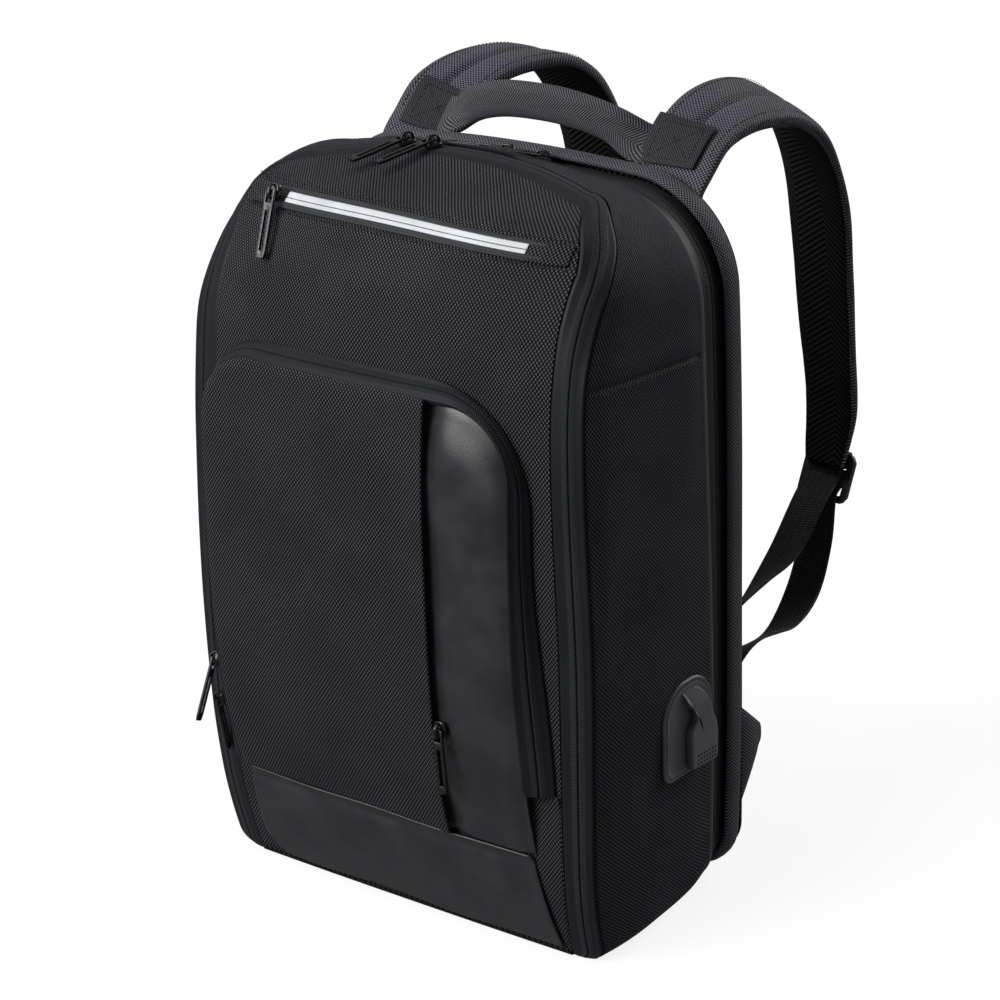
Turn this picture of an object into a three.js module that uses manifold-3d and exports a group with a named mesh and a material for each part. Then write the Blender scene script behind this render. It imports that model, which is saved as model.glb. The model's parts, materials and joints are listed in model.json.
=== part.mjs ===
// A soft business backpack that stands on its base with its zips closed.
// Millimetres. +Z is up, the front faces -Y and the charging patch is on the +X side.
// The origin is the centre of the flat underside of the base.

import * as THREE from "three";
import { mergeVertices } from "three/addons/utils/BufferGeometryUtils.js";
import Module from "manifold-3d";

const wasm = await Module();
wasm.setup();

// Driving dimensions
const seamGap = 0.3; // clearance between pieces that are sewn to each other
const wallThickness = 4; // padded walls of the body
const pocketThickness = 3; // padded front of the pocket
const baseThickness = 2; // plain woven base
const tapeThickness = 1.2; // zip tapes
const leatherThickness = 1.6;
const rimThickness = 3;

// Front of the shell at each height: half width and depth of the panel's edge and of the zip's outer edge.
const frontEdges = [
  { z: 0, panelHalf: 126, panelDepth: -70, zipHalf: 145.5, zipDepth: -67 },
  { z: 30, panelHalf: 128, panelDepth: -78, zipHalf: 146.5, zipDepth: -75 },
  { z: 60, panelHalf: 130, panelDepth: -83, zipHalf: 148, zipDepth: -80 },
  { z: 110, panelHalf: 132, panelDepth: -86.5, zipHalf: 150.5, zipDepth: -83 },
  { z: 200, panelHalf: 133, panelDepth: -87.5, zipHalf: 152, zipDepth: -83.5 },
  { z: 300, panelHalf: 130, panelDepth: -87, zipHalf: 148.5, zipDepth: -83 },
  { z: 350, panelHalf: 128, panelDepth: -83.5, zipHalf: 146.5, zipDepth: -80 },
  { z: 375, panelHalf: 128, panelDepth: -80, zipHalf: 146, zipDepth: -76 },
  { z: 395, panelHalf: 129, panelDepth: -75, zipHalf: 146.5, zipDepth: -67 },
  { z: 410, panelHalf: 129.5, panelDepth: -69, zipHalf: 146.5, zipDepth: -58 },
  { z: 425, panelHalf: 129.5, panelDepth: -59.5, zipHalf: 146.5, zipDepth: -47 },
  { z: 440, panelHalf: 129.5, panelDepth: -49, zipHalf: 146.5, zipDepth: -36 },
  { z: 452, panelHalf: 129.5, panelDepth: -35, zipHalf: 146.5, zipDepth: -20 },
  { z: 460, panelHalf: 129.5, panelDepth: -13, zipHalf: 146.5, zipDepth: 2 },
  { z: 468, panelHalf: 129.5, panelDepth: 4, zipHalf: 146.5, zipDepth: 20 },
];

// Rear of the shell at each height: half width, depth of the gusset's rear edge and of the rim's rear edge.
const rearEdges = [
  { z: 0, rearHalf: 149, gussetDepth: 45, rimDepth: 76 },
  { z: 60, rearHalf: 151, gussetDepth: 44.5, rimDepth: 77 },
  { z: 110, rearHalf: 152, gussetDepth: 44, rimDepth: 77 },
  { z: 200, rearHalf: 152.5, gussetDepth: 42, rimDepth: 77 },
  { z: 300, rearHalf: 152.5, gussetDepth: 38, rimDepth: 77 },
  { z: 375, rearHalf: 152.5, gussetDepth: 35, rimDepth: 75 },
  { z: 425, rearHalf: 152.5, gussetDepth: 34, rimDepth: 72 },
  { z: 468, rearHalf: 152.5, gussetDepth: 34, rimDepth: 71 },
];

// Outlines that the shell is sewn along, from the front panel to the rim. Each is open at the foot.
const frontLine = { table: frontEdges, half: "panelHalf", depth: "panelDepth" };
const zipLine = { table: frontEdges, half: "zipHalf", depth: "zipDepth" };
const gussetLine = { table: rearEdges, half: "rearHalf", depth: "gussetDepth" };
const rimLine = { table: rearEdges, half: "rearHalf", depth: "rimDepth" };
const outlines = {
  panel: { ...frontLine, foot: 1.5, top: 462.5, footRadius: 1.5, topRadius: 34, crown: 5, lean: -9 },
  zip: { ...zipLine, foot: 0, top: 465, footRadius: 12, topRadius: 46, crown: 3, lean: -9 },
  gusset: { ...gussetLine, foot: 5, top: 457, footRadius: 24, topRadius: 64, crown: 4, lean: -3 },
  rim: { ...rimLine, foot: 9, top: 459, footRadius: 32, topRadius: 67, crown: 3, lean: 0 },
};
const leanRange = { low: 370, high: 465 }; // heights between which the soft top leans to the left

// How far the front panel bulges forward of its edge at each height, and how full that is across the width.
const frontBelly = [
  { z: 0, belly: 1, fullness: 2.4 },
  { z: 60, belly: 3, fullness: 2.4 },
  { z: 300, belly: 4, fullness: 2.4 },
  { z: 350, belly: 6, fullness: 2.6 },
  { z: 400, belly: 11, fullness: 3 },
  { z: 425, belly: 16, fullness: 3.4 },
  { z: 440, belly: 19, fullness: 3.4 },
  { z: 452, belly: 17, fullness: 3.4 },
  { z: 460, belly: 8, fullness: 3.4 },
  { z: 467, belly: 0, fullness: 3.4 },
];

// Sections of the gusset from the front zip to the rear zip. Its padding thins towards both seams.
const seamWall = { front: 2, rear: 1.6 };
const gussetSections = [
  { share: 0, swell: 0, foot: 0, back: tapeThickness + 2 * seamGap, wall: seamWall.front },
  { share: 0.14, swell: 2.2, foot: 0, back: 0, wall: wallThickness },
  { share: 0.45, swell: 3.4, foot: 0, back: 0, wall: wallThickness },
  { share: 0.8, swell: 2.4, foot: 0, back: 0, wall: wallThickness },
  { share: 1, swell: 0, foot: 5, back: 0, wall: seamWall.rear },
];

// Sections of the padded rim, from its front edge to its rear edge.
const rimSections = [
  { back: -15, swell: -1 },
  { back: -12, swell: 0.8 },
  { back: -4, swell: 1.2 },
  { back: 0, swell: -0.8 },
];

// The rear zip tape lies inside the gusset and the rim.
const rearTape = { tuck: 4, gussetInset: seamWall.rear + 0.7, rimInset: rimThickness + seamGap + 2.8 };

const sideShares = [0, 0.1, 0.22, 0.36, 0.5, 0.63, 0.74, 0.83, 0.9, 0.95, 1];
const lowerShares = [0, 0.05, 0.1, 0.16, 0.22, 0.29, 0.36, 0.5, 0.63, 0.74];
const crestShares = [0.83, 0.885, 0.92, 0.945, 0.965, 0.985, 1];
const panelShares = [...lowerShares, ...crestShares];
const footSteps = 3;
const cornerSteps = 5;
const topSteps = 4;

// The base: how far its front edge lies in from the gusset's feet, and its rear edge. Its middle lies flat.
const base = { frontInset: 12, frontDepth: -66.2, frontRise: 0.8 };
const baseEnd = { rearDepth: 46, rearRise: 5, heelDepth: 55, heelRise: 8.8, endDepth: 60.6, endRise: 11 };

// The arched zip of the front pocket: edges beside the pocket and on the front panel, and where its legs end.
const arch = {
  inner: { left: 124, right: 105, top: 353, leftRadius: 42, rightRadius: 66 },
  outer: { left: 129.5, right: 116.5, top: 364, leftRadius: 48, rightRadius: 76 },
  leftEnd: 76,
  rightEnd: 116,
  flare: 10, // the right leg's foot, which stands further out
  flareTop: 205,
  leftSteps: 5,
  rightSteps: 7,
  turnSteps: 8,
};

// How proud the pocket stands at its left and right edges, and its share at each height.
const pocketRise = { left: 15, right: 11 };
const pocketSwell = [
  { z: 60, share: 0.03 },
  { z: 74, share: 0.08 },
  { z: 115, share: 0.6 },
  { z: 160, share: 0.88 },
  { z: 200, share: 1 },
  { z: 300, share: 1 },
  { z: 353, share: 0.8 },
];

// The woven pocket panel overhangs the leather panel along an upright slit.
const pocket = { bottom: 72.8, slit: 50, lip: 5, puff: 2, lift: 0.8, lipLift: 2.4, lipReach: 40, edgeGap: 1 };
const leatherBand = { bottom: 7, top: 72, halfTop: 113, halfBottom: 115, lift: 0.8 };

// The reflective zip across the top of the front panel.
const upperZip = { height: 442, rise: 3, tilt: 0.025, half: 106, span: 128, surround: 10.5, lift: 0.6 };
const upperStrip = { height: 4.7, left: -82, right: 95.5 };

// The rubber charging patch on the right side: its middle, its plate and the hood that stands on it.
const chargingPatch = { y: 9, z: 132, width: 52.5, height: 62, radius: 20, base: 1.4, seat: 155.4 };
const chargingHood = { width: 23.5, height: 38.5, radius: 8, rise: 6, bevel: 1.2 };
const hoodSeat = { shift: 7.8, drop: 2.5, sunk: 0.1 };

// Right shoulder strap, from its root behind the rim over the top and down to the buckle.
const rightStrapRows = [
  { x: 102, y: 78, z: 448, width: 50, thickness: 8 },
  { x: 102, y: 90, z: 462, width: 50, thickness: 9 },
  { x: 102, y: 106, z: 474, width: 51, thickness: 10 },
  { x: 103.5, y: 127, z: 481, width: 54, thickness: 11 },
  { x: 105.5, y: 152, z: 482, width: 57, thickness: 11.5 },
  { x: 107, y: 180, z: 476, width: 59, thickness: 11.5 },
  { x: 107.5, y: 205, z: 461, width: 60, thickness: 11.5 },
  { x: 107.5, y: 224, z: 436, width: 59, thickness: 11.5 },
  { x: 106.5, y: 239, z: 402, width: 57, thickness: 11.5 },
  { x: 105, y: 249, z: 352, width: 53, thickness: 11.5 },
  { x: 104, y: 257, z: 300, width: 50, thickness: 11 },
  { x: 103, y: 264, z: 255, width: 46, thickness: 10 },
  { x: 102, y: 263, z: 234, width: 40, thickness: 8 },
  { x: 102, y: 257.5, z: 213, width: 32, thickness: 6 },
];

// Left shoulder strap, which falls further in and further back than the right one.
const leftStrapRows = [
  { x: -93, y: 78, z: 448, width: 48, thickness: 8 },
  { x: -92, y: 90, z: 461, width: 48, thickness: 9 },
  { x: -90, y: 106, z: 476, width: 48, thickness: 10 },
  { x: -85, y: 129, z: 485, width: 48, thickness: 11 },
  { x: -80, y: 158, z: 487.5, width: 48, thickness: 11.5 },
  { x: -75, y: 188, z: 483, width: 48, thickness: 11.5 },
  { x: -74, y: 212, z: 470, width: 48, thickness: 11.5 },
  { x: -75, y: 233, z: 448, width: 48, thickness: 11.5 },
  { x: -75, y: 250, z: 412, width: 48, thickness: 11.5 },
  { x: -77, y: 260, z: 355, width: 47, thickness: 11.5 },
  { x: -85, y: 264, z: 302, width: 46, thickness: 11 },
  { x: -95, y: 266, z: 257, width: 44, thickness: 10 },
  { x: -100, y: 263.5, z: 234, width: 40, thickness: 8 },
  { x: -102, y: 256, z: 213, width: 32, thickness: 6 },
];

// The direction across each strap: both lean over the shoulder.
const rightAcross = [0.93, -0.25, -0.28];
const leftAcross = [0.97, 0.2, -0.1];
const strapSteps = 26;

// Webbing from the wing up to the buckle, and the free tail that comes out of it. Turns are in degrees.
const webbing = { width: 25, thickness: 1.6, steps: 11 };
const webbingRows = [
  { x: 133.9, y: 94, z: 86 },
  { x: 122, y: 98, z: 98 },
  { x: 114, y: 105, z: 113 },
  { x: 115, y: 125, z: 126, turn: 20 },
  { x: 116, y: 152, z: 126, turn: 34 },
  { x: 114, y: 184, z: 122, turn: 20 },
  { x: 110, y: 218, z: 136 },
  { x: 106, y: 241, z: 165 },
  { x: 103, y: 251.3, z: 194 },
];
const tailRows = [
  { x: 102, y: 257.4, z: 205 },
  { x: 103, y: 240, z: 196 },
  { x: 101, y: 208, z: 165, turn: -8 },
  { x: 100, y: 176, z: 151, turn: -36 },
  { x: 100, y: 150, z: 143, turn: -50 },
];

// The carrying handle between the strap roots.
const handleRows = [
  { x: -67.6, y: 87, z: 469, width: 20, thickness: 8 },
  { x: -50, y: 84, z: 477, width: 22, thickness: 10 },
  { x: -27, y: 82, z: 483.5, width: 23, thickness: 11 },
  { x: 0, y: 82, z: 485, width: 23, thickness: 11 },
  { x: 27, y: 82, z: 483.5, width: 23, thickness: 11 },
  { x: 55, y: 84, z: 477, width: 22, thickness: 10 },
  { x: 75.2, y: 87, z: 469, width: 20, thickness: 8 },
];
const handleSteps = 14;

const strapPatch = { inner: 25, outer: -14, first: 1, last: 4, thickness: 1.4, lift: 1.1 };
const buckle = { width: 38, length: 34, thickness: 5, radius: 4, slotHalf: 14, slotLength: 6, barInset: 5 };
const buckleSeat = { x: 102, y: 261.3, z: 203, lean: 28 };

// Padded wing that carries the webbing, in the plane of the side.
const wing = { x: 151, thickness: 7.2, root: 80.7, topZ: 116, bottomZ: 44 };
const wingTip = { y: 104, low: 81, high: 95 };

// The foam back panel, hollow towards the bag: its inner face, the seam that covers the rim, then the pad.
const backSections = [
  { depth: 8, half: 133.4, foot: 34, top: 428, footRadius: 30, topRadius: 56 },
  { depth: 0.4, half: 137.4, foot: 30, top: 434, footRadius: 32, topRadius: 58 },
  { depth: 0.4, half: 148.9, foot: 11, top: 457.5, footRadius: 31, topRadius: 64 },
  { depth: 1.9, half: 148.9, foot: 11, top: 457.5, footRadius: 31, topRadius: 64 },
  { depth: 3.2, half: 143.4, foot: 24, top: 450.5, footRadius: 34, topRadius: 60 },
  { depth: 9, half: 143.4, foot: 24, top: 441, footRadius: 34, topRadius: 60 },
  { depth: 13, half: 138.4, foot: 29, top: 433, footRadius: 34, topRadius: 60 },
];

// Zip sliders. The bridge stands on the body and holds the pull's bar.
const slider = { length: 11, width: 9, height: 3.6, radius: 2.5, lift: 0.5 };
const bridge = { half: 5, width: 2.6, top: 8.4, post: 1.5, sunk: 1, floor: 0.4 };
const hingeHeight = 5.5; // the pull's bar above the slider's seat

// Zip pulls. Each lies along its hang direction and turns about its bar under the bridge.
const pull = { length: 41, width: 7.4, thickness: 1.8, bar: 1.8, window: 7, windowHalf: 2.2, corner: 1.5 };
const pullSlot = { from: 12, to: 36, half: 1.2 };

// Where the sliders are. A pull droops towards the cloth by some degrees, or stands away from it.
const topPulls = [
  { name: "front_a", x: -45, zip: "front", hang: [-0.35, -1, 0], droop: 9 },
  { name: "front_b", x: -26, zip: "front", hang: [-0.35, -1, 0], droop: 9 },
  { name: "rear_a", x: 2, zip: "rear", hang: [-1, -0.18, 0], droop: 1 },
  { name: "rear_b", x: 28, zip: "rear", hang: [-1, -0.34, 0], droop: 0 },
];
const legPulls = [
  { name: "pocket_a", z: 146, hang: [0, -0.45, -1], droop: -10 },
  { name: "pocket_b", z: 118.5, hang: [0, 0.25, -1], droop: -1 },
];
const upperPull = { x: -89.5, normalX: -40, normalZ: 432, lift: 3.4, hang: [0.05, 0, -1], droop: 0 };
const slitPull = { x: 55.2, z: 149, hang: [0.06, 0, -1], droop: 0 };

// Colours
const finishes = {
  weave: { color: 0x1c1d20, roughness: 0.85, metalness: 0 },
  rib: { color: 0x1e1f23, roughness: 0.8, metalness: 0 },
  tape: { color: 0x20242c, roughness: 0.7, metalness: 0 },
  leather: { color: 0x232426, roughness: 0.42, metalness: 0 },
  reflector: { color: 0xdfe2e8, roughness: 0.35, metalness: 0.1 },
  rubber: { color: 0x2a2b2e, roughness: 0.55, metalness: 0 },
  hardware: { color: 0x0c0c0d, roughness: 0.25, metalness: 0.4 },
  webbing: { color: 0x17181a, roughness: 0.8, metalness: 0 },
};

const bag = new THREE.Group();
const vector = ([x, y, z]) => new THREE.Vector3(x, y, z);
const clamp = THREE.MathUtils.clamp;

// A smooth curve through the named column of a table, by height or by any other column.
function along(rows, column, at, by = "z") {
  const last = rows.length - 1;
  if (at <= rows[0][by]) return rows[0][column];
  if (at >= rows[last][by]) return rows[last][column];
  let i = 0;
  while (rows[i + 1][by] < at) i += 1;
  const slope = (j) => {
    const before = rows[Math.max(j - 1, 0)];
    const after = rows[Math.min(j + 1, last)];
    return (after[column] - before[column]) / (after[by] - before[by]);
  };
  const span = rows[i + 1][by] - rows[i][by];
  const t = (at - rows[i][by]) / span;
  const rest = 1 - t;
  return (
    rows[i][column] * (1 + 2 * t) * rest * rest +
    rows[i + 1][column] * (3 - 2 * t) * t * t +
    span * (slope(i) * t * rest * rest - slope(i + 1) * t * t * rest)
  );
}

function addPiece(name, geometry, finish, parent = bag) {
  const mesh = new THREE.Mesh(geometry, new THREE.MeshStandardMaterial(finishes[finish]));
  mesh.name = name;
  parent.add(mesh);
  return mesh;
}

// Geometry from points and triangles, turned so that its faces point out.
function closedGeometry(points, triangles) {
  let volume = 0;
  for (let i = 0; i < triangles.length; i += 3) {
    const [a, b, c] = [points[triangles[i]], points[triangles[i + 1]], points[triangles[i + 2]]];
    volume += a.dot(b.clone().cross(c));
  }
  const index = volume > 0 ? triangles : triangles.slice().reverse();
  const geometry = new THREE.BufferGeometry().setFromPoints(points);
  geometry.setIndex(index);
  geometry.computeVertexNormals();
  return geometry;
}

// A wall between two grids of points, its outer and its inner face. A closed one joins its ends.
function wall(outer, inner, closed = false) {
  const rows = outer.length;
  const columns = outer[0].length;
  const points = [...outer.flat(), ...inner.flat()];
  const id = (face, r, c) => (face * rows + r) * columns + (c % columns);
  const triangles = [];
  const quad = (a, b, c, d) => triangles.push(a, b, c, a, c, d);
  const spans = closed ? columns : columns - 1;
  const end = rows - 1;
  for (let c = 0; c < spans; c += 1) {
    for (let r = 0; r < end; r += 1) {
      quad(id(0, r, c), id(0, r, c + 1), id(0, r + 1, c + 1), id(0, r + 1, c));
      quad(id(1, r, c), id(1, r + 1, c), id(1, r + 1, c + 1), id(1, r, c + 1));
    }
    quad(id(0, 0, c), id(1, 0, c), id(1, 0, c + 1), id(0, 0, c + 1));
    quad(id(0, end, c), id(0, end, c + 1), id(1, end, c + 1), id(1, end, c));
  }
  if (!closed) {
    const edge = columns - 1;
    for (let r = 0; r < end; r += 1) {
      quad(id(0, r, 0), id(0, r + 1, 0), id(1, r + 1, 0), id(1, r, 0));
      quad(id(0, r, edge), id(1, r, edge), id(1, r + 1, edge), id(0, r + 1, edge));
    }
  }
  return closedGeometry(points, triangles);
}

// A solid through closed sections of equal size. Its ends are flat, or laddered between mirrored corners.
function loft(sections, laddered = false) {
  const size = sections[0].length;
  const points = sections.flat();
  const triangles = [];
  for (let r = 0; r < sections.length - 1; r += 1) {
    for (let c = 0; c < size; c += 1) {
      const next = (c + 1) % size;
      const [a, b] = [r * size + c, r * size + next];
      triangles.push(a, b, b + size, a, b + size, a + size);
    }
  }
  const end = (sections.length - 1) * size;
  const cap = (a, b, c) => triangles.push(a, c, b, end + a, end + b, end + c);
  if (laddered) {
    for (let c = 0; c < size / 2 - 1; c += 1) {
      cap(c, c + 1, size - 2 - c);
      cap(c, size - 2 - c, size - 1 - c);
    }
  } else {
    for (let c = 1; c < size - 1; c += 1) cap(0, c, c + 1);
  }
  return closedGeometry(points, triangles);
}

// How far an outline leans to one side at a height.
function leanAt(shape, z) {
  return shape.lean * THREE.MathUtils.smoothstep(z, leanRange.low, leanRange.high);
}

// One sewn outline of the shell, from the left foot over the top to the right foot.
function outline(name, { inset = 0, back = 0, swell = 0, foot = outlines[name].foot } = {}) {
  const shape = outlines[name];
  const grow = swell - inset;
  const bottom = foot + inset;
  const top = shape.top + grow;
  const footRadius = Math.max(shape.footRadius - inset, 0.2);
  const topRadius = shape.topRadius + grow;
  const sideLow = bottom + footRadius;
  const sideHigh = top - topRadius;
  const half = (z) => along(shape.table, shape.half, z) + grow;
  const rightSide = [];
  const put = (x, z) => rightSide.push(new THREE.Vector3(x, along(shape.table, shape.depth, z) + back, z));
  for (let i = 0; i < footSteps; i += 1) {
    const angle = ((i / footSteps) * Math.PI) / 2;
    put(half(sideLow) - footRadius * (1 - Math.sin(angle)), bottom + footRadius * (1 - Math.cos(angle)));
  }
  for (const share of sideShares) {
    const z = sideLow + (sideHigh - sideLow) * share;
    put(half(z), z);
  }
  const cornerX = half(sideHigh) - topRadius;
  for (let i = 1; i <= cornerSteps; i += 1) {
    const angle = ((i / cornerSteps) * Math.PI) / 2;
    put(cornerX + topRadius * Math.cos(angle), sideHigh + topRadius * Math.sin(angle));
  }
  for (let i = 1; i <= topSteps; i += 1) {
    const share = i / topSteps;
    put(cornerX * (1 - share), top + shape.crown * (1 - (1 - share) ** 2));
  }
  const leftSide = rightSide.slice(0, -1).map((p) => new THREE.Vector3(-p.x, p.y, p.z));
  const whole = [...leftSide, ...rightSide.reverse()];
  for (const p of whole) p.x += leanAt(shape, p.z);
  return whole;
}

const mix = (from, to, share) => from.map((p, i) => p.clone().lerp(to[i], share));

// Half width of the front panel at a height, with its rounded top corners.
function panelHalfAt(z) {
  const { top, topRadius } = outlines.panel;
  const corner = top - topRadius;
  const half = along(frontEdges, "panelHalf", Math.min(z, corner));
  const rise = clamp(z - corner, 0, topRadius);
  return half - topRadius + Math.sqrt(topRadius ** 2 - rise ** 2);
}

// Depth of the front panel's outer face.
function frontDepth(x, z) {
  const across = Math.min(Math.abs(x - leanAt(outlines.panel, z)) / panelHalfAt(z), 1);
  const bulge = 1 - across ** along(frontBelly, "fullness", z);
  return along(frontEdges, "panelDepth", z) - along(frontBelly, "belly", z) * bulge;
}

// A point on the front panel's face, lifted off it along its normal.
function onFront(x, z, lift) {
  const step = 1;
  const slopeX = (frontDepth(x + step, z) - frontDepth(x - step, z)) / (2 * step);
  const slopeZ = (frontDepth(x, z + step) - frontDepth(x, z - step)) / (2 * step);
  const normal = new THREE.Vector3(slopeX, -1, slopeZ).normalize();
  return new THREE.Vector3(x, frontDepth(x, z), z).addScaledVector(normal, lift);
}

const frontNormal = (x, z) => onFront(x, z, 1).sub(onFront(x, z, 0));

// A cloth or leather piece laid on the front panel: its places as rows of [x, z], its lift and its thickness.
function laidOnFront(places, liftAt, thickness) {
  const face = (extra) => places.map((row) => row.map(([x, z]) => onFront(x, z, liftAt(x, z) + extra)));
  return wall(face(thickness), face(0));
}

function addFrontPanel() {
  const edgeInset = tapeThickness + seamGap;
  const edge = outline("panel", { inset: edgeInset });
  const first = footSteps + sideShares.length - 1;
  const top = edge.slice(first, edge.length - first);
  const low = edge[footSteps].z;
  const cornerHeight = top[0].z;
  const topHalf = along(frontEdges, "panelHalf", cornerHeight) - edgeInset;
  const place = (p, share, back) => {
    const z = low + (p.z - low) * share;
    const half = along(frontEdges, "panelHalf", Math.min(z, cornerHeight)) - edgeInset;
    const reach = (p.x - leanAt(outlines.panel, p.z)) / topHalf;
    const x = reach * half + leanAt(outlines.panel, z);
    return new THREE.Vector3(x, frontDepth(x, z) + back, z);
  };
  const face = (back) => panelShares.map((share) => top.map((p) => place(p, share, back)));
  addPiece("front_panel", wall(face(0), face(wallThickness)), "weave");
}

// Lines that the rear zip tape follows, set in by its own thickness or not.
function rearTapeLines(extra) {
  const { tuck, gussetInset, rimInset } = rearTape;
  return [
    outline("gusset", { inset: gussetInset + extra, back: -tuck }),
    outline("gusset", { inset: gussetInset + extra, back: 1 }),
    outline("rim", { inset: rimInset + extra, back: rimSections[0].back + tuck }),
  ];
}

function addShell() {
  const tapeInner = { inset: tapeThickness, back: tapeThickness };
  const tapeOuterFace = [outline("panel"), outline("zip")];
  const tapeInnerFace = [outline("panel", tapeInner), outline("zip", tapeInner)];
  addPiece("front_zip_tape", wall(tapeOuterFace, tapeInnerFace), "tape");

  const gussetRow = (row, inset) =>
    mix(
      outline("zip", { inset, swell: row.swell, foot: row.foot, back: row.back }),
      outline("gusset", { inset, swell: row.swell, foot: row.foot }),
      row.share,
    );
  const gussetOuter = gussetSections.map((row) => gussetRow(row, 0));
  const gussetInner = gussetSections.map((row) => gussetRow(row, row.wall));
  addPiece("main_gusset", wall(gussetOuter, gussetInner), "weave");

  const tapeLines = rearTapeLines(0);
  addPiece("rear_zip_tape", wall(tapeLines, rearTapeLines(tapeThickness)), "tape");

  const rimRow = (row, inset) => outline("rim", { inset, swell: row.swell, back: row.back });
  const rimOuter = rimSections.map((row) => rimRow(row, 0));
  const rimInner = rimSections.map((row) => rimRow(row, rimThickness));
  addPiece("back_rim", wall(rimOuter, rimInner, true), "rib");

  // The base lies between the feet of the gusset and of the rear zip tape.
  const lastOf = (line) => line[line.length - 1];
  const gussetFeet = gussetOuter.slice(0, -1).map(lastOf);
  const feet = [
    { x: gussetFeet[0].x - base.frontInset, y: base.frontDepth, z: base.frontRise },
    ...gussetFeet,
    { x: lastOf(tapeLines[1]).x, y: baseEnd.rearDepth, z: baseEnd.rearRise },
    { x: lastOf(tapeLines[2]).x, y: baseEnd.heelDepth, z: baseEnd.heelRise },
    { x: lastOf(tapeLines[2]).x, y: baseEnd.endDepth, z: baseEnd.endRise },
  ];
  const columns = [-1, -0.84, 0, 0.84, 1];
  const lowAt = (p, share) => (Math.abs(share) < 1 && p.y <= baseEnd.heelDepth ? 0 : p.z);
  const baseRow = (p, rise) =>
    columns.map((share) => new THREE.Vector3(share * (p.x - seamGap), p.y, lowAt(p, share) + rise));
  const underside = feet.map((p) => baseRow(p, 0));
  addPiece("base_panel", wall(underside, feet.map((p) => baseRow(p, baseThickness))), "weave");
}

function addBackPanel() {
  const sideSteps = 6;
  const section = ({ depth, half, foot, top, footRadius, topRadius }) => {
    const arc = (x, z, r, start) =>
      Array.from({ length: cornerSteps + 1 }, (_, i) => {
        const angle = THREE.MathUtils.degToRad(start + (90 * i) / cornerSteps);
        return [x + r * Math.cos(angle), z + r * Math.sin(angle)];
      });
    const low = foot + footRadius;
    const high = top - topRadius;
    const rise = (high - low) / sideSteps;
    const side = Array.from({ length: sideSteps - 1 }, (_, i) => [half, low + rise * (i + 1)]);
    const footArc = arc(half - footRadius, low, footRadius, -90);
    const topArc = arc(half - topRadius, high, topRadius, 0);
    const right = [...footArc, ...side, ...topArc];
    const left = right.map(([x, z]) => [-x, z]).reverse();
    const place = ([x, z]) => new THREE.Vector3(x, along(rearEdges, "rimDepth", z) + depth, z);
    return [...right, ...left].map(place);
  };
  addPiece("back_panel", loft(backSections.map(section), true), "rib");
}

// How far the right leg of the arched zip stands out at a height.
function flareAt(z) {
  return arch.flare * (1 - THREE.MathUtils.smoothstep(z, arch.rightEnd, arch.flareTop));
}

// One edge of the arched zip, from its left foot over the top to its right foot, as [x, z].
function archEdge({ left, right, top, leftRadius, rightRadius }) {
  const { leftEnd, rightEnd, leftSteps, rightSteps, turnSteps } = arch;
  const line = [];
  const [leftCorner, rightCorner] = [top - leftRadius, top - rightRadius];
  for (let i = 0; i < leftSteps; i += 1) {
    line.push([-left, leftEnd + ((leftCorner - leftEnd) * i) / leftSteps]);
  }
  for (let i = 0; i <= turnSteps; i += 1) {
    const angle = ((i / turnSteps) * Math.PI) / 2;
    line.push([-left + leftRadius * (1 - Math.cos(angle)), leftCorner + leftRadius * Math.sin(angle)]);
  }
  line.push([0, top]);
  for (let i = turnSteps; i >= 0; i -= 1) {
    const angle = ((i / turnSteps) * Math.PI) / 2;
    line.push([right - rightRadius * (1 - Math.cos(angle)), rightCorner + rightRadius * Math.sin(angle)]);
  }
  for (let i = 1; i <= rightSteps; i += 1) {
    const z = rightCorner + ((rightEnd - rightCorner) * i) / rightSteps;
    line.push([right + flareAt(z), z]);
  }
  return line;
}

// Height of the arched zip's inner edge above a place across the pocket, less the gap beside it.
function archInnerTop(x) {
  const { left, right, top, leftRadius, rightRadius } = arch.inner;
  const [reach, fullRadius] = x < 0 ? [left, leftRadius] : [right, rightRadius];
  const radius = fullRadius - pocket.edgeGap;
  const over = clamp(Math.abs(x) - (reach - fullRadius), 0, radius);
  return top - fullRadius + Math.sqrt(radius ** 2 - over ** 2);
}

// How far the pocket stands off the front panel.
function pocketLift(x, z) {
  const share = clamp((x + arch.inner.left) / (arch.inner.left + arch.inner.right), 0, 1);
  const rise = pocketRise.left + (pocketRise.right - pocketRise.left) * share;
  return pocket.lift + rise * along(pocketSwell, "share", z);
}

// Faces of the arched zip: the pocket carries its inner edge and its outer edge lies on the front panel.
function archFace(extra) {
  const innerRow = archEdge(arch.inner).map(([x, z]) => onFront(x, z, pocketLift(x, z) + extra));
  const outerRow = archEdge(arch.outer).map(([x, z]) => onFront(x, z, pocket.lift + extra));
  return [innerRow, mix(innerRow, outerRow, 0.5), outerRow];
}

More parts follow.
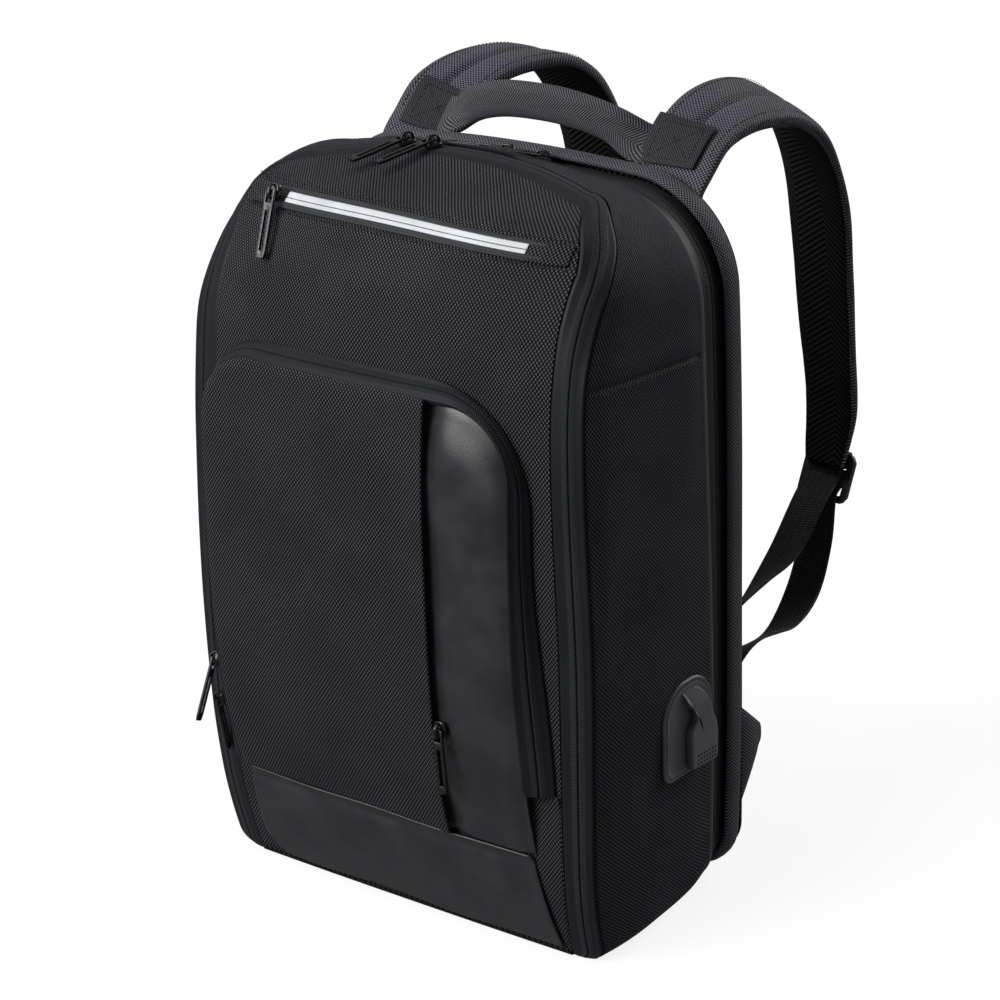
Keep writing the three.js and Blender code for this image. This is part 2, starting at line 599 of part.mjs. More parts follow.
function addFrontPocket() {
  addPiece("pocket_zip_tape", wall(archFace(tapeThickness), archFace(0)), "tape");

  // Places between a left and a right edge, from the pocket's foot up to the arched zip.
  const rowShares = [0, 0.08, 0.18, 0.3, 0.45, 0.6, 0.75, 0.88, 1];
  const filled = (left, right, shares, flared) =>
    rowShares.map((row) =>
      shares.map((share) => {
        const x = left + (right - left) * share;
        const z = pocket.bottom + (archInnerTop(x) - pocket.bottom) * row;
        return [x + (flared ? share * flareAt(z) : 0), z];
      }),
    );
  const [leftEdge, rightEdge] = [pocket.edgeGap - arch.inner.left, arch.inner.right - pocket.edgeGap];
  const { slit, lip, lipLift, lipReach, puff } = pocket;
  const puffAt = (x, z) => {
    const across = (2 * (x - leftEdge)) / (slit - leftEdge) - 1;
    const up = (2 * (z - pocket.bottom)) / (arch.inner.top - pocket.bottom) - 1;
    return puff * Math.max(1 - across ** 2, 0) * Math.max(1 - up ** 2, 0);
  };
  const panelLift = (x, z) => {
    const nearSlit = clamp((x - (slit - lipReach)) / lipReach, 0, 1);
    return pocketLift(x, z) + puffAt(x, z) + lipLift * nearSlit ** 2;
  };
  const panelColumns = [0, 0.04, 0.09, 0.15, 0.24, 0.36, 0.5, 0.66, 0.82, 0.93, 0.97, 1];
  const panelPlaces = filled(leftEdge, slit, panelColumns, false);
  addPiece("pocket_panel", laidOnFront(panelPlaces, panelLift, pocketThickness), "weave");

  const leatherColumns = [0, 0.14, 0.3, 0.45, 0.6, 0.72, 0.82, 0.9, 0.96, 1];
  const leatherPlaces = filled(slit - lip, rightEdge, leatherColumns, true);
  addPiece("leather_panel", laidOnFront(leatherPlaces, pocketLift, leatherThickness), "leather");

  const { bottom, top, halfTop, halfBottom, lift } = leatherBand;
  const bandColumns = [-1, -0.75, -0.5, -0.25, 0, 0.25, 0.5, 0.75, 1];
  const bandRow = (row) =>
    bandColumns.map((share) => [
      share * (halfBottom + (halfTop - halfBottom) * row),
      bottom + (top - bottom) * row,
    ]);
  const bandPlaces = [0, 0.25, 0.5, 0.75, 1].map(bandRow);
  addPiece("leather_band", laidOnFront(bandPlaces, () => lift, leatherThickness), "leather");
}

function upperZipHeight(x) {
  const { height, rise, tilt, span } = upperZip;
  return height + rise * (1 - (x / span) ** 2) - tilt * x;
}

function addUpperZip() {
  const steps = 8;
  const row = (left, right, rise) =>
    Array.from({ length: steps + 1 }, (_, i) => {
      const x = left + ((right - left) * i) / steps;
      return [x, upperZipHeight(x) + rise];
    });
  const places = (left, right, height) => [-0.5, 0, 0.5].map((side) => row(left, right, side * height));
  const { half, surround, lift } = upperZip;
  const { height, left, right } = upperStrip;
  const above = lift + tapeThickness + seamGap;
  const surroundPlaces = places(-half, half, surround);
  addPiece("upper_zip_surround", laidOnFront(surroundPlaces, () => lift, tapeThickness), "tape");
  const stripPlaces = places(left, right, height);
  addPiece("upper_zip_strip", laidOnFront(stripPlaces, () => above, tapeThickness), "reflector");
}

// A copy with shared corners merged, so that it is one closed body.
function closedCopy(geometry) {
  const bare = geometry.clone();
  bare.deleteAttribute("normal");
  bare.deleteAttribute("uv");
  const merged = mergeVertices(bare, 1e-3);
  merged.computeVertexNormals();
  return merged;
}

// Joins closed geometries into one solid.
function joined(geometries) {
  const solids = geometries.map((geometry) => {
    const closed = closedCopy(geometry);
    const vertProperties = new Float32Array(closed.getAttribute("position").array);
    const triVerts = new Uint32Array(closed.index.array);
    return new wasm.Manifold(new wasm.Mesh({ numProp: 3, vertProperties, triVerts }));
  });
  const whole = solids.reduce((sum, solid) => sum.add(solid)).getMesh();
  const geometry = new THREE.BufferGeometry();
  geometry.setAttribute("position", new THREE.BufferAttribute(whole.vertProperties, 3));
  geometry.setIndex(new THREE.BufferAttribute(whole.triVerts, 1));
  geometry.computeVertexNormals();
  return geometry;
}

function roundedShape(width, height, radius) {
  const shape = new THREE.Shape();
  const [x, y] = [width / 2 - radius, height / 2 - radius];
  shape.absarc(x, -y, radius, -Math.PI / 2, 0);
  shape.absarc(x, y, radius, 0, Math.PI / 2);
  shape.absarc(-x, y, radius, Math.PI / 2, Math.PI);
  shape.absarc(-x, -y, radius, Math.PI, 1.5 * Math.PI);
  return shape;
}

function polygon(Kind, corners) {
  const path = new Kind();
  corners.forEach(([x, y], i) => (i === 0 ? path.moveTo(x, y) : path.lineTo(x, y)));
  path.closePath();
  return path;
}

function rectanglePath(left, right, low, high) {
  const corners = [[left, low], [right, low], [right, high], [left, high]];
  return polygon(THREE.Path, corners);
}

// A plate drawn in depth and height, standing in the plane of the side.
function sidePlacement(x, y, z) {
  const [across, up, out] = [[0, 1, 0], [0, 0, 1], [1, 0, 0]].map(vector);
  return new THREE.Matrix4().makeBasis(across, up, out).setPosition(x, y, z);
}

function addChargingPatch() {
  const { y, z, width, height, radius, base: depth, seat } = chargingPatch;
  const { rise, bevel } = chargingHood;
  const curveSegments = 4;
  const plateShape = roundedShape(width, height, radius);
  const plate = new THREE.ExtrudeGeometry(plateShape, { depth, bevelEnabled: false, curveSegments });
  const hoodShape = roundedShape(chargingHood.width, chargingHood.height, chargingHood.radius);
  const hood = new THREE.ExtrudeGeometry(hoodShape, {
    depth: rise,
    bevelThickness: bevel,
    bevelSize: bevel,
    bevelSegments: 1,
    curveSegments,
  });
  hood.translate(hoodSeat.shift, -hoodSeat.drop, depth - hoodSeat.sunk);
  addPiece("usb_patch", joined([plate, hood]).applyMatrix4(sidePlacement(seat, y, z)), "rubber");
}

// Places along a strap: the middle, the direction across it, and the outward direction.
function strapFrames(rows, steps, across) {
  const curve = new THREE.CatmullRomCurve3(rows.map((row) => new THREE.Vector3(row.x, row.y, row.z)));
  const numbered = rows.map((row, i) => ({ turn: 0, ...row, i }));
  return Array.from({ length: steps + 1 }, (_, k) => {
    const share = k / steps;
    const place = share * (rows.length - 1);
    const tangent = curve.getTangent(share);
    const level = across.clone().addScaledVector(tangent, -across.dot(tangent)).normalize();
    const turn = THREE.MathUtils.degToRad(along(numbered, "turn", place, "i"));
    const side = level.applyAxisAngle(tangent, -turn);
    return {
      middle: curve.getPoint(share),
      side,
      out: side.clone().cross(tangent),
      width: along(numbered, "width", place, "i"),
      thickness: along(numbered, "thickness", place, "i"),
    };
  });
}

// A soft strap with rounded edges. Corners are shares of its width and thickness.
function strap(frames) {
  const corners = [
    [-0.5, -0.2],
    [-0.44, -0.5],
    [0.44, -0.5],
    [0.5, -0.2],
    [0.5, 0.2],
    [0.44, 0.5],
    [-0.44, 0.5],
    [-0.5, 0.2],
  ];
  const place = ({ middle, side, out, width, thickness }, u, v) =>
    middle.clone().addScaledVector(side, u * width).addScaledVector(out, v * thickness);
  return loft(frames.map((frame) => corners.map(([u, v]) => place(frame, u, v))));
}

// The same piece on the other side of the bag.
function mirrored(geometry) {
  const copy = geometry.clone();
  copy.scale(-1, 1, 1);
  copy.setIndex(Array.from(copy.index.array).reverse());
  copy.computeVertexNormals();
  return copy;
}

function addPair(name, geometry, finish) {
  addPiece(`${name}_right`, geometry, finish);
  addPiece(`${name}_left`, mirrored(geometry), finish);
}

function addStraps() {
  const level = new THREE.Vector3(1, 0, 0);
  const upright = new THREE.Vector3(0, 0, 1);
  const rightFrames = strapFrames(rightStrapRows, strapSteps, vector(rightAcross));
  const leftFrames = strapFrames(leftStrapRows, strapSteps, vector(leftAcross));
  addPiece("shoulder_strap_right", strap(rightFrames), "rib");
  addPiece("shoulder_strap_left", strap(leftFrames), "rib");

  const { width, thickness, steps } = webbing;
  const sized = (rows) => rows.map((row) => ({ ...row, width, thickness }));
  const band = (rows) => strap(strapFrames(sized(rows), steps, level));
  addPair("webbing", band(webbingRows), "webbing");
  addPair("webbing_tail", band(tailRows), "webbing");
  addPiece("handle", strap(strapFrames(handleRows, handleSteps, upright)), "webbing");

  // Sewn patches on the inner part of each strap root.
  const { inner, outer, first, last, lift } = strapPatch;
  const patch = (frames, toward) => {
    const columns = [inner, (inner + outer) / 2, outer].map((u) => u * toward);
    const place = ({ middle, side, out, thickness: depth }, u, extra) =>
      middle.clone().addScaledVector(side, u).addScaledVector(out, depth / 2 + lift + extra);
    const covered = frames.slice(first, last + 1);
    const face = (extra) => covered.map((frame) => columns.map((u) => place(frame, u, extra)));
    return wall(face(strapPatch.thickness), face(0));
  };
  addPiece("strap_patch_right", patch(rightFrames, -1), "rib");
  addPiece("strap_patch_left", patch(leftFrames, 1), "rib");

  // Ladder buckle at the end of the strap.
  const { slotHalf, slotLength, barInset, length } = buckle;
  const shape = roundedShape(buckle.width, length, buckle.radius);
  const reach = length / 2 - barInset;
  shape.holes.push(rectanglePath(-slotHalf, slotHalf, -reach, slotLength - reach));
  shape.holes.push(rectanglePath(-slotHalf, slotHalf, reach - slotLength, reach));
  const depth = buckle.thickness;
  const frame = new THREE.ExtrudeGeometry(shape, { depth, bevelEnabled: false, curveSegments: 3 });
  frame.translate(0, 0, -depth / 2);
  frame.rotateX(Math.PI / 2 - THREE.MathUtils.degToRad(buckleSeat.lean));
  frame.translate(buckleSeat.x, buckleSeat.y, buckleSeat.z);
  addPair("strap_buckle", closedCopy(frame), "hardware");

  // Padded wing that carries the webbing, sewn in beside the back panel.
  const { root, bottomZ, topZ } = wing;
  const { y: tip, low, high } = wingTip;
  const wingCorners = [[root, bottomZ], [tip, low], [tip, high], [root, topZ]];
  const wingShape = polygon(THREE.Shape, wingCorners);
  const plate = new THREE.ExtrudeGeometry(wingShape, { depth: wing.thickness, bevelEnabled: false });
  plate.applyMatrix4(sidePlacement(wing.x - wing.thickness, 0, 0));
  addPair("strap_wing", closedCopy(plate), "rib");
}

function sliderGeometry() {
  const { length, width, height, radius } = slider;
  const bodyShape = roundedShape(length, width, radius);
  const body = new THREE.ExtrudeGeometry(bodyShape, { depth: height, bevelEnabled: false, curveSegments: 2 });
  const { half, top, post, sunk, floor } = bridge;
  const arched = [
    [-half, height - sunk],
    [half, height - sunk],
    [half, top - post],
    [half - post, top],
    [post - half, top],
    [-half, top - post],
  ];
  const archedShape = polygon(THREE.Shape, arched);
  archedShape.holes.push(rectanglePath(post - half, half - post, height + floor, top - post));
  const standing = new THREE.ExtrudeGeometry(archedShape, { depth: bridge.width, bevelEnabled: false });
  standing.translate(0, 0, -bridge.width / 2);
  standing.rotateX(Math.PI / 2);
  return joined([body, standing]);
}

function pullGeometry() {
  const { length, width, thickness, bar, window, windowHalf, corner } = pull;
  const start = -bar / 2;
  const half = width / 2;
  const corners = [
    [start, -half],
    [length - corner, -half],
    [length, corner - half],
    [length, half - corner],
    [length - corner, half],
    [start, half],
  ];
  const shape = polygon(THREE.Shape, corners);
  shape.holes.push(rectanglePath(bar / 2, window, -windowHalf, windowHalf));
  shape.holes.push(rectanglePath(pullSlot.from, pullSlot.to, -pullSlot.half, pullSlot.half));
  const plate = new THREE.ExtrudeGeometry(shape, { depth: thickness, bevelEnabled: false });
  plate.translate(0, 0, -thickness / 2);
  return closedCopy(plate);
}

// A zip slider and the pull that hangs on it, in a frame of hang, axis and normal.
function addZipper(name, at, normal, { hang, droop }) {
  const up = normal.clone().normalize();
  const wanted = vector(hang);
  const down = wanted.addScaledVector(up, -wanted.dot(up)).normalize();
  const place = new THREE.Matrix4().makeBasis(down, up.clone().cross(down), up);
  place.setPosition(at.clone().addScaledVector(up, slider.lift));
  const zipper = new THREE.Group();
  zipper.applyMatrix4(place);
  addPiece(`${name}_slider`, sliderGeometry(), "hardware", zipper);
  const tab = addPiece(`${name}_pull`, pullGeometry(), "hardware", zipper);
  tab.position.z = hingeHeight;
  tab.rotation.y = THREE.MathUtils.degToRad(droop);
  bag.add(zipper);
}

// The place midway between two lines where a coordinate is reached, and the normal there.
function tapePlace(lines, coordinate, value, from = 0) {
  const middle = mix(lines[0], lines[1], 0.5);
  const reached = (p, k) => k > from && middle[k - 1][coordinate] <= value && p[coordinate] >= value;
  const i = middle.findIndex(reached);
  const share = (value - middle[i - 1][coordinate]) / (middle[i][coordinate] - middle[i - 1][coordinate]);
  const tangent = middle[i].clone().sub(middle[i - 1]);
  const normal = tangent.cross(lines[1][i].clone().sub(lines[0][i])).normalize();
  return { at: middle[i - 1].clone().lerp(middle[i], share), normal };
}

function addZippers() {
  const upperZ = upperZipHeight(upperPull.x);
  const upperAt = onFront(upperPull.x, upperZ, upperPull.lift);
  addZipper("upper", upperAt, frontNormal(upperPull.normalX, upperPull.normalZ), upperPull);

  // Pairs on the top runs of the two main zips.
  const topLines = {
    front: [outline("panel"), outline("zip")],
    rear: rearTapeLines(0).slice(1),
  };
  for (const row of topPulls) {
    const { at, normal } = tapePlace(topLines[row.zip], "x", row.x);
    addZipper(row.name, at, normal, row);
  }

  // Two sliders on the left leg of the arched zip, and one at the slit.
  const [innerRow, , outerRow] = archFace(tapeThickness);
  for (const row of legPulls) {
    const { at, normal } = tapePlace([innerRow, outerRow], "z", row.z);
    addZipper(row.name, at, normal, row);
  }
  const { x, z } = slitPull;
  addZipper("slit", onFront(x, z, pocketLift(x, z) + leatherThickness), frontNormal(x, z), slitPull);
}

addFrontPanel();
addShell();
addBackPanel();
addFrontPocket();
addUpperZip();
addChargingPatch();
addStraps();
addZippers();

export default bag;
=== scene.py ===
import json
import math

import bpy
import numpy as np
from mathutils import Matrix, Vector


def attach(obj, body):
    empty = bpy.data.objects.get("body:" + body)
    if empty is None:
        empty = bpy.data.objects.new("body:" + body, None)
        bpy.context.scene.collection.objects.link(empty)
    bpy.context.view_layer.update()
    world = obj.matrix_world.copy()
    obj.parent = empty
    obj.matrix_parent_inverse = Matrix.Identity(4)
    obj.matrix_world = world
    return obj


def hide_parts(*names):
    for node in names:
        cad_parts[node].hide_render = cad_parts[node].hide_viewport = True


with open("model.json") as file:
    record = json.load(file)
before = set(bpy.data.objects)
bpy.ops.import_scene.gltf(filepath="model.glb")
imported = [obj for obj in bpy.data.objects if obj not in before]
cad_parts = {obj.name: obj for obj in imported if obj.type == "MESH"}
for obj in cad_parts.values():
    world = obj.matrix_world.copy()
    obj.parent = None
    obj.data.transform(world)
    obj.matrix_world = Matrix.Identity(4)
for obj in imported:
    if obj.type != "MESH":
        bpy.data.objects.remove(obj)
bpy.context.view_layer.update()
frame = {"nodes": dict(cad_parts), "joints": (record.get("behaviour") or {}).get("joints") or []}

mm = 0.001  # shapes are worked out in millimetres
bagMiddle = np.array([0.0, 0.0, 235.0])

# Camera, floor and light

cameraSetup = {"azimuth": 37.45, "elevation": 21.24, "roll": -1.76, "distance": 1.862,
               "target": (0.01643, 0.01109, 0.24938), "lens": 108.0, "sensor": 36.0}
floorSetup = {"size": 30.0, "drop": 0.0004, "tone": 0.2, "glow": 0.85, "roughness": 0.9, "gloss": 0.1}
lightRig = {
    "ambient": 0.2,
    "sun": {"from": (-0.75, -1.5, 0.95), "strength": 2.5, "spread": 40.0},
    "softboxes": [  # place, size and watts of each
        {"name": "topBox", "at": (-0.45, -0.35, 1.7), "size": 0.9, "watts": 8.0},
        {"name": "frontBox", "at": (-0.9, -1.7, 1.0), "size": 1.2, "watts": 8.0},
        {"name": "rearBox", "at": (0.7, 1.9, 1.2), "size": 1.2, "watts": 24.0},
    ],
    "aim": (0.0, 0.0, 0.25),
}


def placeCamera(setup):
    azimuth, elevation, roll = (math.radians(setup[k]) for k in ("azimuth", "elevation", "roll"))
    back = Vector((math.sin(azimuth) * math.cos(elevation),
                   -math.cos(azimuth) * math.cos(elevation), math.sin(elevation)))
    right = Vector((math.cos(azimuth), math.sin(azimuth), 0))
    up = back.cross(right)
    turnedRight = right * math.cos(roll) + up * math.sin(roll)
    turnedUp = up * math.cos(roll) - right * math.sin(roll)
    data = bpy.data.cameras.new("camera")
    data.lens, data.sensor_width = setup["lens"], setup["sensor"]
    camera = bpy.data.objects.new("camera", data)
    turn = Matrix((turnedRight, turnedUp, back)).transposed().to_4x4()
    camera.matrix_world = Matrix.Translation(Vector(setup["target"]) + back * setup["distance"]) @ turn
    bpy.context.scene.collection.objects.link(camera)
    bpy.context.scene.camera = camera


def aimed(place, target):
    look = Vector(target) - Vector(place)
    return Matrix.Translation(place) @ look.to_track_quat("-Z", "Y").to_matrix().to_4x4()


def placeLights(rig):
    world = bpy.data.worlds.new("studio")
    world.use_nodes = True
    sky = world.node_tree.nodes["Background"]
    sky.inputs["Color"].default_value = (1, 1, 1, 1)
    sky.inputs["Strength"].default_value = rig["ambient"]
    bpy.context.scene.world = world
    bpy.context.scene.view_settings.view_transform = "Standard"
    sun = bpy.data.lights.new("sun", "SUN")
    sun.energy, sun.angle = rig["sun"]["strength"], math.radians(rig["sun"]["spread"])
    lamp = bpy.data.objects.new("sun", sun)
    lamp.matrix_world = aimed(rig["sun"]["from"], (0, 0, 0))
    bpy.context.scene.collection.objects.link(lamp)
    for box in rig["softboxes"]:
        data = bpy.data.lights.new(box["name"], "AREA")
        data.shape, data.size, data.energy = "DISK", box["size"], box["watts"]
        lamp = bpy.data.objects.new(box["name"], data)
        lamp.matrix_world = aimed(box["at"], rig["aim"])
        bpy.context.scene.collection.objects.link(lamp)


def placeFloor(setup):
    half, low = setup["size"] / 2, -setup["drop"]
    corners = [(-half, -half, low), (half, -half, low), (half, half, low), (-half, half, low)]
    mesh = bpy.data.meshes.new("floor")
    mesh.from_pydata(corners, [], [(0, 1, 2, 3)])
    paint = bpy.data.materials.new("paleFloor")
    paint.use_nodes = True
    shader = paint.node_tree.nodes["Principled BSDF"]
    shader.inputs["Base Color"].default_value = (setup["tone"],) * 3 + (1,)
    shader.inputs["Roughness"].default_value = setup["roughness"]
    shader.inputs["Specular IOR Level"].default_value = setup["gloss"]
    shader.inputs["Emission Color"].default_value = (1, 1, 1, 1)
    shader.inputs["Emission Strength"].default_value = setup["glow"]
    mesh.materials.append(paint)
    floor = bpy.data.objects.new("floor", mesh)
    floor.visible_diffuse = floor.visible_glossy = False  # the pale floor doesn't brighten the bag above it
    bpy.context.scene.collection.objects.link(floor)


placeCamera(cameraSetup)
placeLights(lightRig)
placeFloor(floorSetup)
print("camera, light and floor placed")

# Shader node groups that several finishes share


def join(tree, value, socket):
    if isinstance(value, bpy.types.NodeSocket):
        tree.links.new(value, socket)
    else:
        socket.default_value = value


def addNode(tree, kind, inputs=None, **settings):
    made = tree.nodes.new(kind)
    for key, value in settings.items():
        setattr(made, key, value)
    for key, value in (inputs or {}).items():
        join(tree, value, made.inputs[key])
    return made


def calc(tree, operation, first, second=0.0, third=0.0):
    made = addNode(tree, "ShaderNodeMath", operation=operation)
    for socket, value in zip(made.inputs, (first, second, third)):
        join(tree, value, socket)
    return made.outputs[0]


def fade(tree, value, low, high):  # from 0 to 1 between low and high
    made = addNode(tree, "ShaderNodeMapRange", {0: value, 1: low, 2: high})
    made.interpolation_type = "SMOOTHSTEP"
    return made.outputs[0]


def newGroup(name, inputs, outputs):  # inputs are named floats with their values, or vectors where None
    group = bpy.data.node_groups.new(name, "ShaderNodeTree")
    for label, value in inputs.items():
        kind = "NodeSocketVector" if value is None else "NodeSocketFloat"
        socket = group.interface.new_socket(label, in_out="INPUT", socket_type=kind)
        if value is not None:
            socket.default_value = value
    for label in outputs:
        group.interface.new_socket(label, in_out="OUTPUT", socket_type="NodeSocketFloat")
    given = group.nodes.new("NodeGroupInput").outputs
    put = group.nodes.new("NodeGroupOutput").inputs
    return group, given, put


def wave(tree, value, length):  # from 0 to 1, once in each length
    turn = calc(tree, "MULTIPLY", calc(tree, "DIVIDE", value, length), 2 * math.pi)
    return calc(tree, "MULTIPLY_ADD", calc(tree, "SINE", turn), 0.5, 0.5)


def makeBasketWeave():
    group, given, put = newGroup(
        "basketWeave", {"Vector": None, "Warp": 1.18, "Weft": 1.6, "Drift": 0.5}, ["Height", "Tone"])
    wander = addNode(group, "ShaderNodeTexNoise", {"Vector": given["Vector"], "Scale": 0.05, "Detail": 1.0})
    moved = addNode(group, "ShaderNodeVectorMath", {0: wander.outputs["Color"]}, operation="SCALE")
    join(group, given["Drift"], moved.inputs["Scale"])
    place = addNode(group, "ShaderNodeVectorMath", {0: given["Vector"], 1: moved.outputs[0]}, operation="ADD")
    split = addNode(group, "ShaderNodeSeparateXYZ", {0: place.outputs[0]})
    sines = []
    for axis, pitch in (("X", "Warp"), ("Y", "Weft")):
        turn = calc(group, "MULTIPLY", calc(group, "DIVIDE", split.outputs[axis], given[pitch]), math.pi)
        sines.append(calc(group, "SINE", turn))
    crossing = calc(group, "MULTIPLY", *sines)
    join(group, calc(group, "MULTIPLY_ADD", crossing, 0.5, 0.5), put["Height"])
    cloud = addNode(group, "ShaderNodeTexNoise", {"Vector": given["Vector"], "Scale": 0.018, "Detail": 3.0})
    join(group, fade(group, cloud.outputs["Fac"], 0.3, 0.7), put["Tone"])
    return group


def makeHerringbone():
    group, given, put = newGroup(
        "herringbone", {"Vector": None, "Column": 24.0, "Offset": 0.0, "Pitch": 3.6, "Slant": 0.7},
        ["Height"])
    split = addNode(group, "ShaderNodeSeparateXYZ", {0: given["Vector"]})
    across = calc(group, "PINGPONG", calc(group, "ADD", split.outputs["X"], given["Offset"]), given["Column"])
    along = calc(group, "MULTIPLY_ADD", across, given["Slant"], split.outputs["Y"])
    join(group, wave(group, along, given["Pitch"]), put["Height"])
    return group


def makeZipRows():
    group, given, put = newGroup(
        "zipRows", {"Vector": None, "Half": 4.6, "Pitch": 1.5, "Line": 0.55}, ["Height", "Coil", "Line"])
    split = addNode(group, "ShaderNodeSeparateXYZ", {0: given["Vector"]})
    off = calc(group, "ABSOLUTE", split.outputs["X"])
    coil = calc(group, "SUBTRACT", 1.0, fade(group, calc(group, "SUBTRACT", off, given["Half"]), -0.5, 0.5))
    rows = wave(group, split.outputs["Y"], given["Pitch"])
    join(group, calc(group, "MULTIPLY", rows, coil), put["Height"])
    join(group, coil, put["Coil"])
    dots = calc(group, "MULTIPLY_ADD", wave(group, split.outputs["Y"], 2.1), 0.5, 0.5)
    line = calc(group, "SUBTRACT", 1.0, fade(group, calc(group, "SUBTRACT", off, given["Line"]), -0.2, 0.3))
    join(group, calc(group, "MULTIPLY", line, dots), put["Line"])
    return group


def makeGrain():
    group, given, put = newGroup("grain", {"Vector": None, "Size": 1.1}, ["Height", "Tone"])
    scale = calc(group, "DIVIDE", 1.0, given["Size"])
    cells = addNode(group, "ShaderNodeTexVoronoi", {"Vector": given["Vector"], "Scale": scale},
                    feature="SMOOTH_F1")
    fine = addNode(group, "ShaderNodeTexNoise", {"Vector": given["Vector"], "Scale": scale, "Detail": 4.0})
    mixed = calc(group, "MULTIPLY_ADD", cells.outputs["Distance"], 0.7,
                 calc(group, "MULTIPLY", fine.outputs["Fac"], 0.5))
    join(group, mixed, put["Height"])
    cloud = addNode(group, "ShaderNodeTexNoise", {"Vector": given["Vector"], "Scale": 0.03, "Detail": 4.0})
    join(group, fade(group, cloud.outputs["Fac"], 0.35, 0.65), put["Tone"])
    return group


def makeEdgeWear():
    group, given, put = newGroup("edgeWear", {"Vector": None, "Amount": 1.0}, ["Wear"])
    shape = addNode(group, "ShaderNodeNewGeometry")
    edge = fade(group, shape.outputs["Pointiness"], 0.52, 0.6)
    scuff = addNode(group, "ShaderNodeTexNoise", {"Vector": given["Vector"], "Scale": 400.0, "Detail": 3.0})
    rubbed = calc(group, "MULTIPLY", edge, fade(group, scuff.outputs["Fac"], 0.35, 0.75))
    join(group, calc(group, "MULTIPLY", rubbed, given["Amount"]), put["Wear"])
    return group


basketWeave, herringbone, zipRows = makeBasketWeave(), makeHerringbone(), makeZipRows()
grain, edgeWear = makeGrain(), makeEdgeWear()

# Finishes


def newFinish(name, constants):
    paint = bpy.data.materials.new(name)
    paint.use_nodes = True
    tree = paint.node_tree
    shader = tree.nodes["Principled BSDF"]
    for key, value in constants.items():
        shader.inputs[key].default_value = value
    place = addNode(tree, "ShaderNodeUVMap", uv_map="cloth").outputs["UV"]
    return paint, tree, shader, place


def useGroup(tree, group, inputs):
    made = addNode(tree, "ShaderNodeGroup", node_tree=group)
    for key, value in inputs.items():
        join(tree, value, made.inputs[key])
    return made.outputs


def blendTones(tree, share, dark, light):
    ramp = addNode(tree, "ShaderNodeMix", {0: share}, data_type="RGBA")
    ramp.inputs[6].default_value = (*dark, 1)
    ramp.inputs[7].default_value = (*light, 1)
    return ramp.outputs[2]


def addBump(tree, shader, height, distance, strength=1.0):
    values = {"Height": height, "Distance": distance * mm, "Strength": strength}
    bump = addNode(tree, "ShaderNodeBump", values)
    join(tree, bump.outputs["Normal"], shader.inputs["Normal"])


def weaveFinish(name, look):  # raised yarns, with the gaps between them painted near black as shade
    paint, tree, shader, place = newFinish(
        name, {"Sheen Weight": look["sheen"], "Sheen Roughness": 0.4, "Specular IOR Level": look["gloss"]})
    yarn = useGroup(tree, basketWeave, {"Vector": place, "Warp": look["warp"], "Weft": look["weft"]})
    raised = fade(tree, yarn["Height"], *look.get("rise", (0.4, 0.75)))
    lit = calc(tree, "MULTIPLY", raised, calc(tree, "MULTIPLY_ADD", yarn["Tone"], 0.25, 0.8))
    # yarn tops take the light colour; the gaps take the dark one, which is painted shade
    join(tree, blendTones(tree, lit, look["dark"], look["light"]), shader.inputs["Base Color"])
    join(tree, calc(tree, "MULTIPLY_ADD", raised, -0.22, look["roughness"]), shader.inputs["Roughness"])
    addBump(tree, shader, yarn["Height"], look["depth"])
    return paint


def herringFinish(name, look):  # slanted rows that turn at each column, with painted shade in the troughs
    paint, tree, shader, place = newFinish(name, {"Specular IOR Level": look["gloss"]})
    rows = useGroup(tree, herringbone, {"Vector": place, **look["rows"]})
    yarn = useGroup(tree, basketWeave, {"Vector": place, "Warp": 0.9, "Weft": 0.9})
    lit = calc(tree, "MULTIPLY", rows["Height"], calc(tree, "MULTIPLY_ADD", yarn["Height"], 0.5, 0.5))
    # the troughs between rows and yarns take the dark colour: painted shade
    join(tree, blendTones(tree, lit, look["dark"], look["light"]), shader.inputs["Base Color"])
    join(tree, calc(tree, "MULTIPLY_ADD", lit, -0.2, 0.9), shader.inputs["Roughness"])
    addBump(tree, shader, calc(tree, "MULTIPLY_ADD", yarn["Height"], 0.2, rows["Height"]), look["depth"])
    return paint


def tapeFinish(name, look):  # satin borders, ribs beside a dotted middle line painted near black as shade in its groove
    paint, tree, shader, place = newFinish(name, {"Sheen Weight": 0.03, "Specular IOR Level": 0.2})
    rows = useGroup(tree, zipRows, {"Vector": place, "Half": look["half"]})
    yarn = useGroup(tree, basketWeave, {"Vector": place, "Warp": 0.7, "Weft": 0.7})
    base = blendTones(tree, yarn["Tone"], look["dark"], look["light"])
    ribbed = addNode(tree, "ShaderNodeMix", {0: calc(tree, "MULTIPLY", rows["Height"], 0.8), 6: base},
                     data_type="RGBA")
    ribbed.inputs[7].default_value = (*look["rib"], 1)
    lined = addNode(tree, "ShaderNodeMix", {0: rows["Line"], 6: ribbed.outputs[2]}, data_type="RGBA")
    # the sunk middle line is painted near black: painted shade
    lined.inputs[7].default_value = (0.0012, 0.0012, 0.0015, 1)
    join(tree, lined.outputs[2], shader.inputs["Base Color"])
    join(tree, calc(tree, "MULTIPLY_ADD", rows["Coil"], 0.12, 0.52), shader.inputs["Roughness"])
    height = calc(tree, "MULTIPLY_ADD", yarn["Height"], 0.12, rows["Height"])
    addBump(tree, shader, calc(tree, "SUBTRACT", height, rows["Line"]), look["depth"])
    return paint


def smoothFinish(name, look):  # fine grain with cloudy tone and gloss
    paint, tree, shader, place = newFinish(name, look["constants"])
    skin = useGroup(tree, grain, {"Vector": place, "Size": look["size"]})
    join(tree, blendTones(tree, skin["Tone"], look["dark"], look["light"]), shader.inputs["Base Color"])
    join(tree, calc(tree, "MULTIPLY_ADD", skin["Tone"], look["dull"], look["roughness"]),
         shader.inputs["Roughness"])
    addBump(tree, shader, skin["Height"], look["depth"])
    return paint


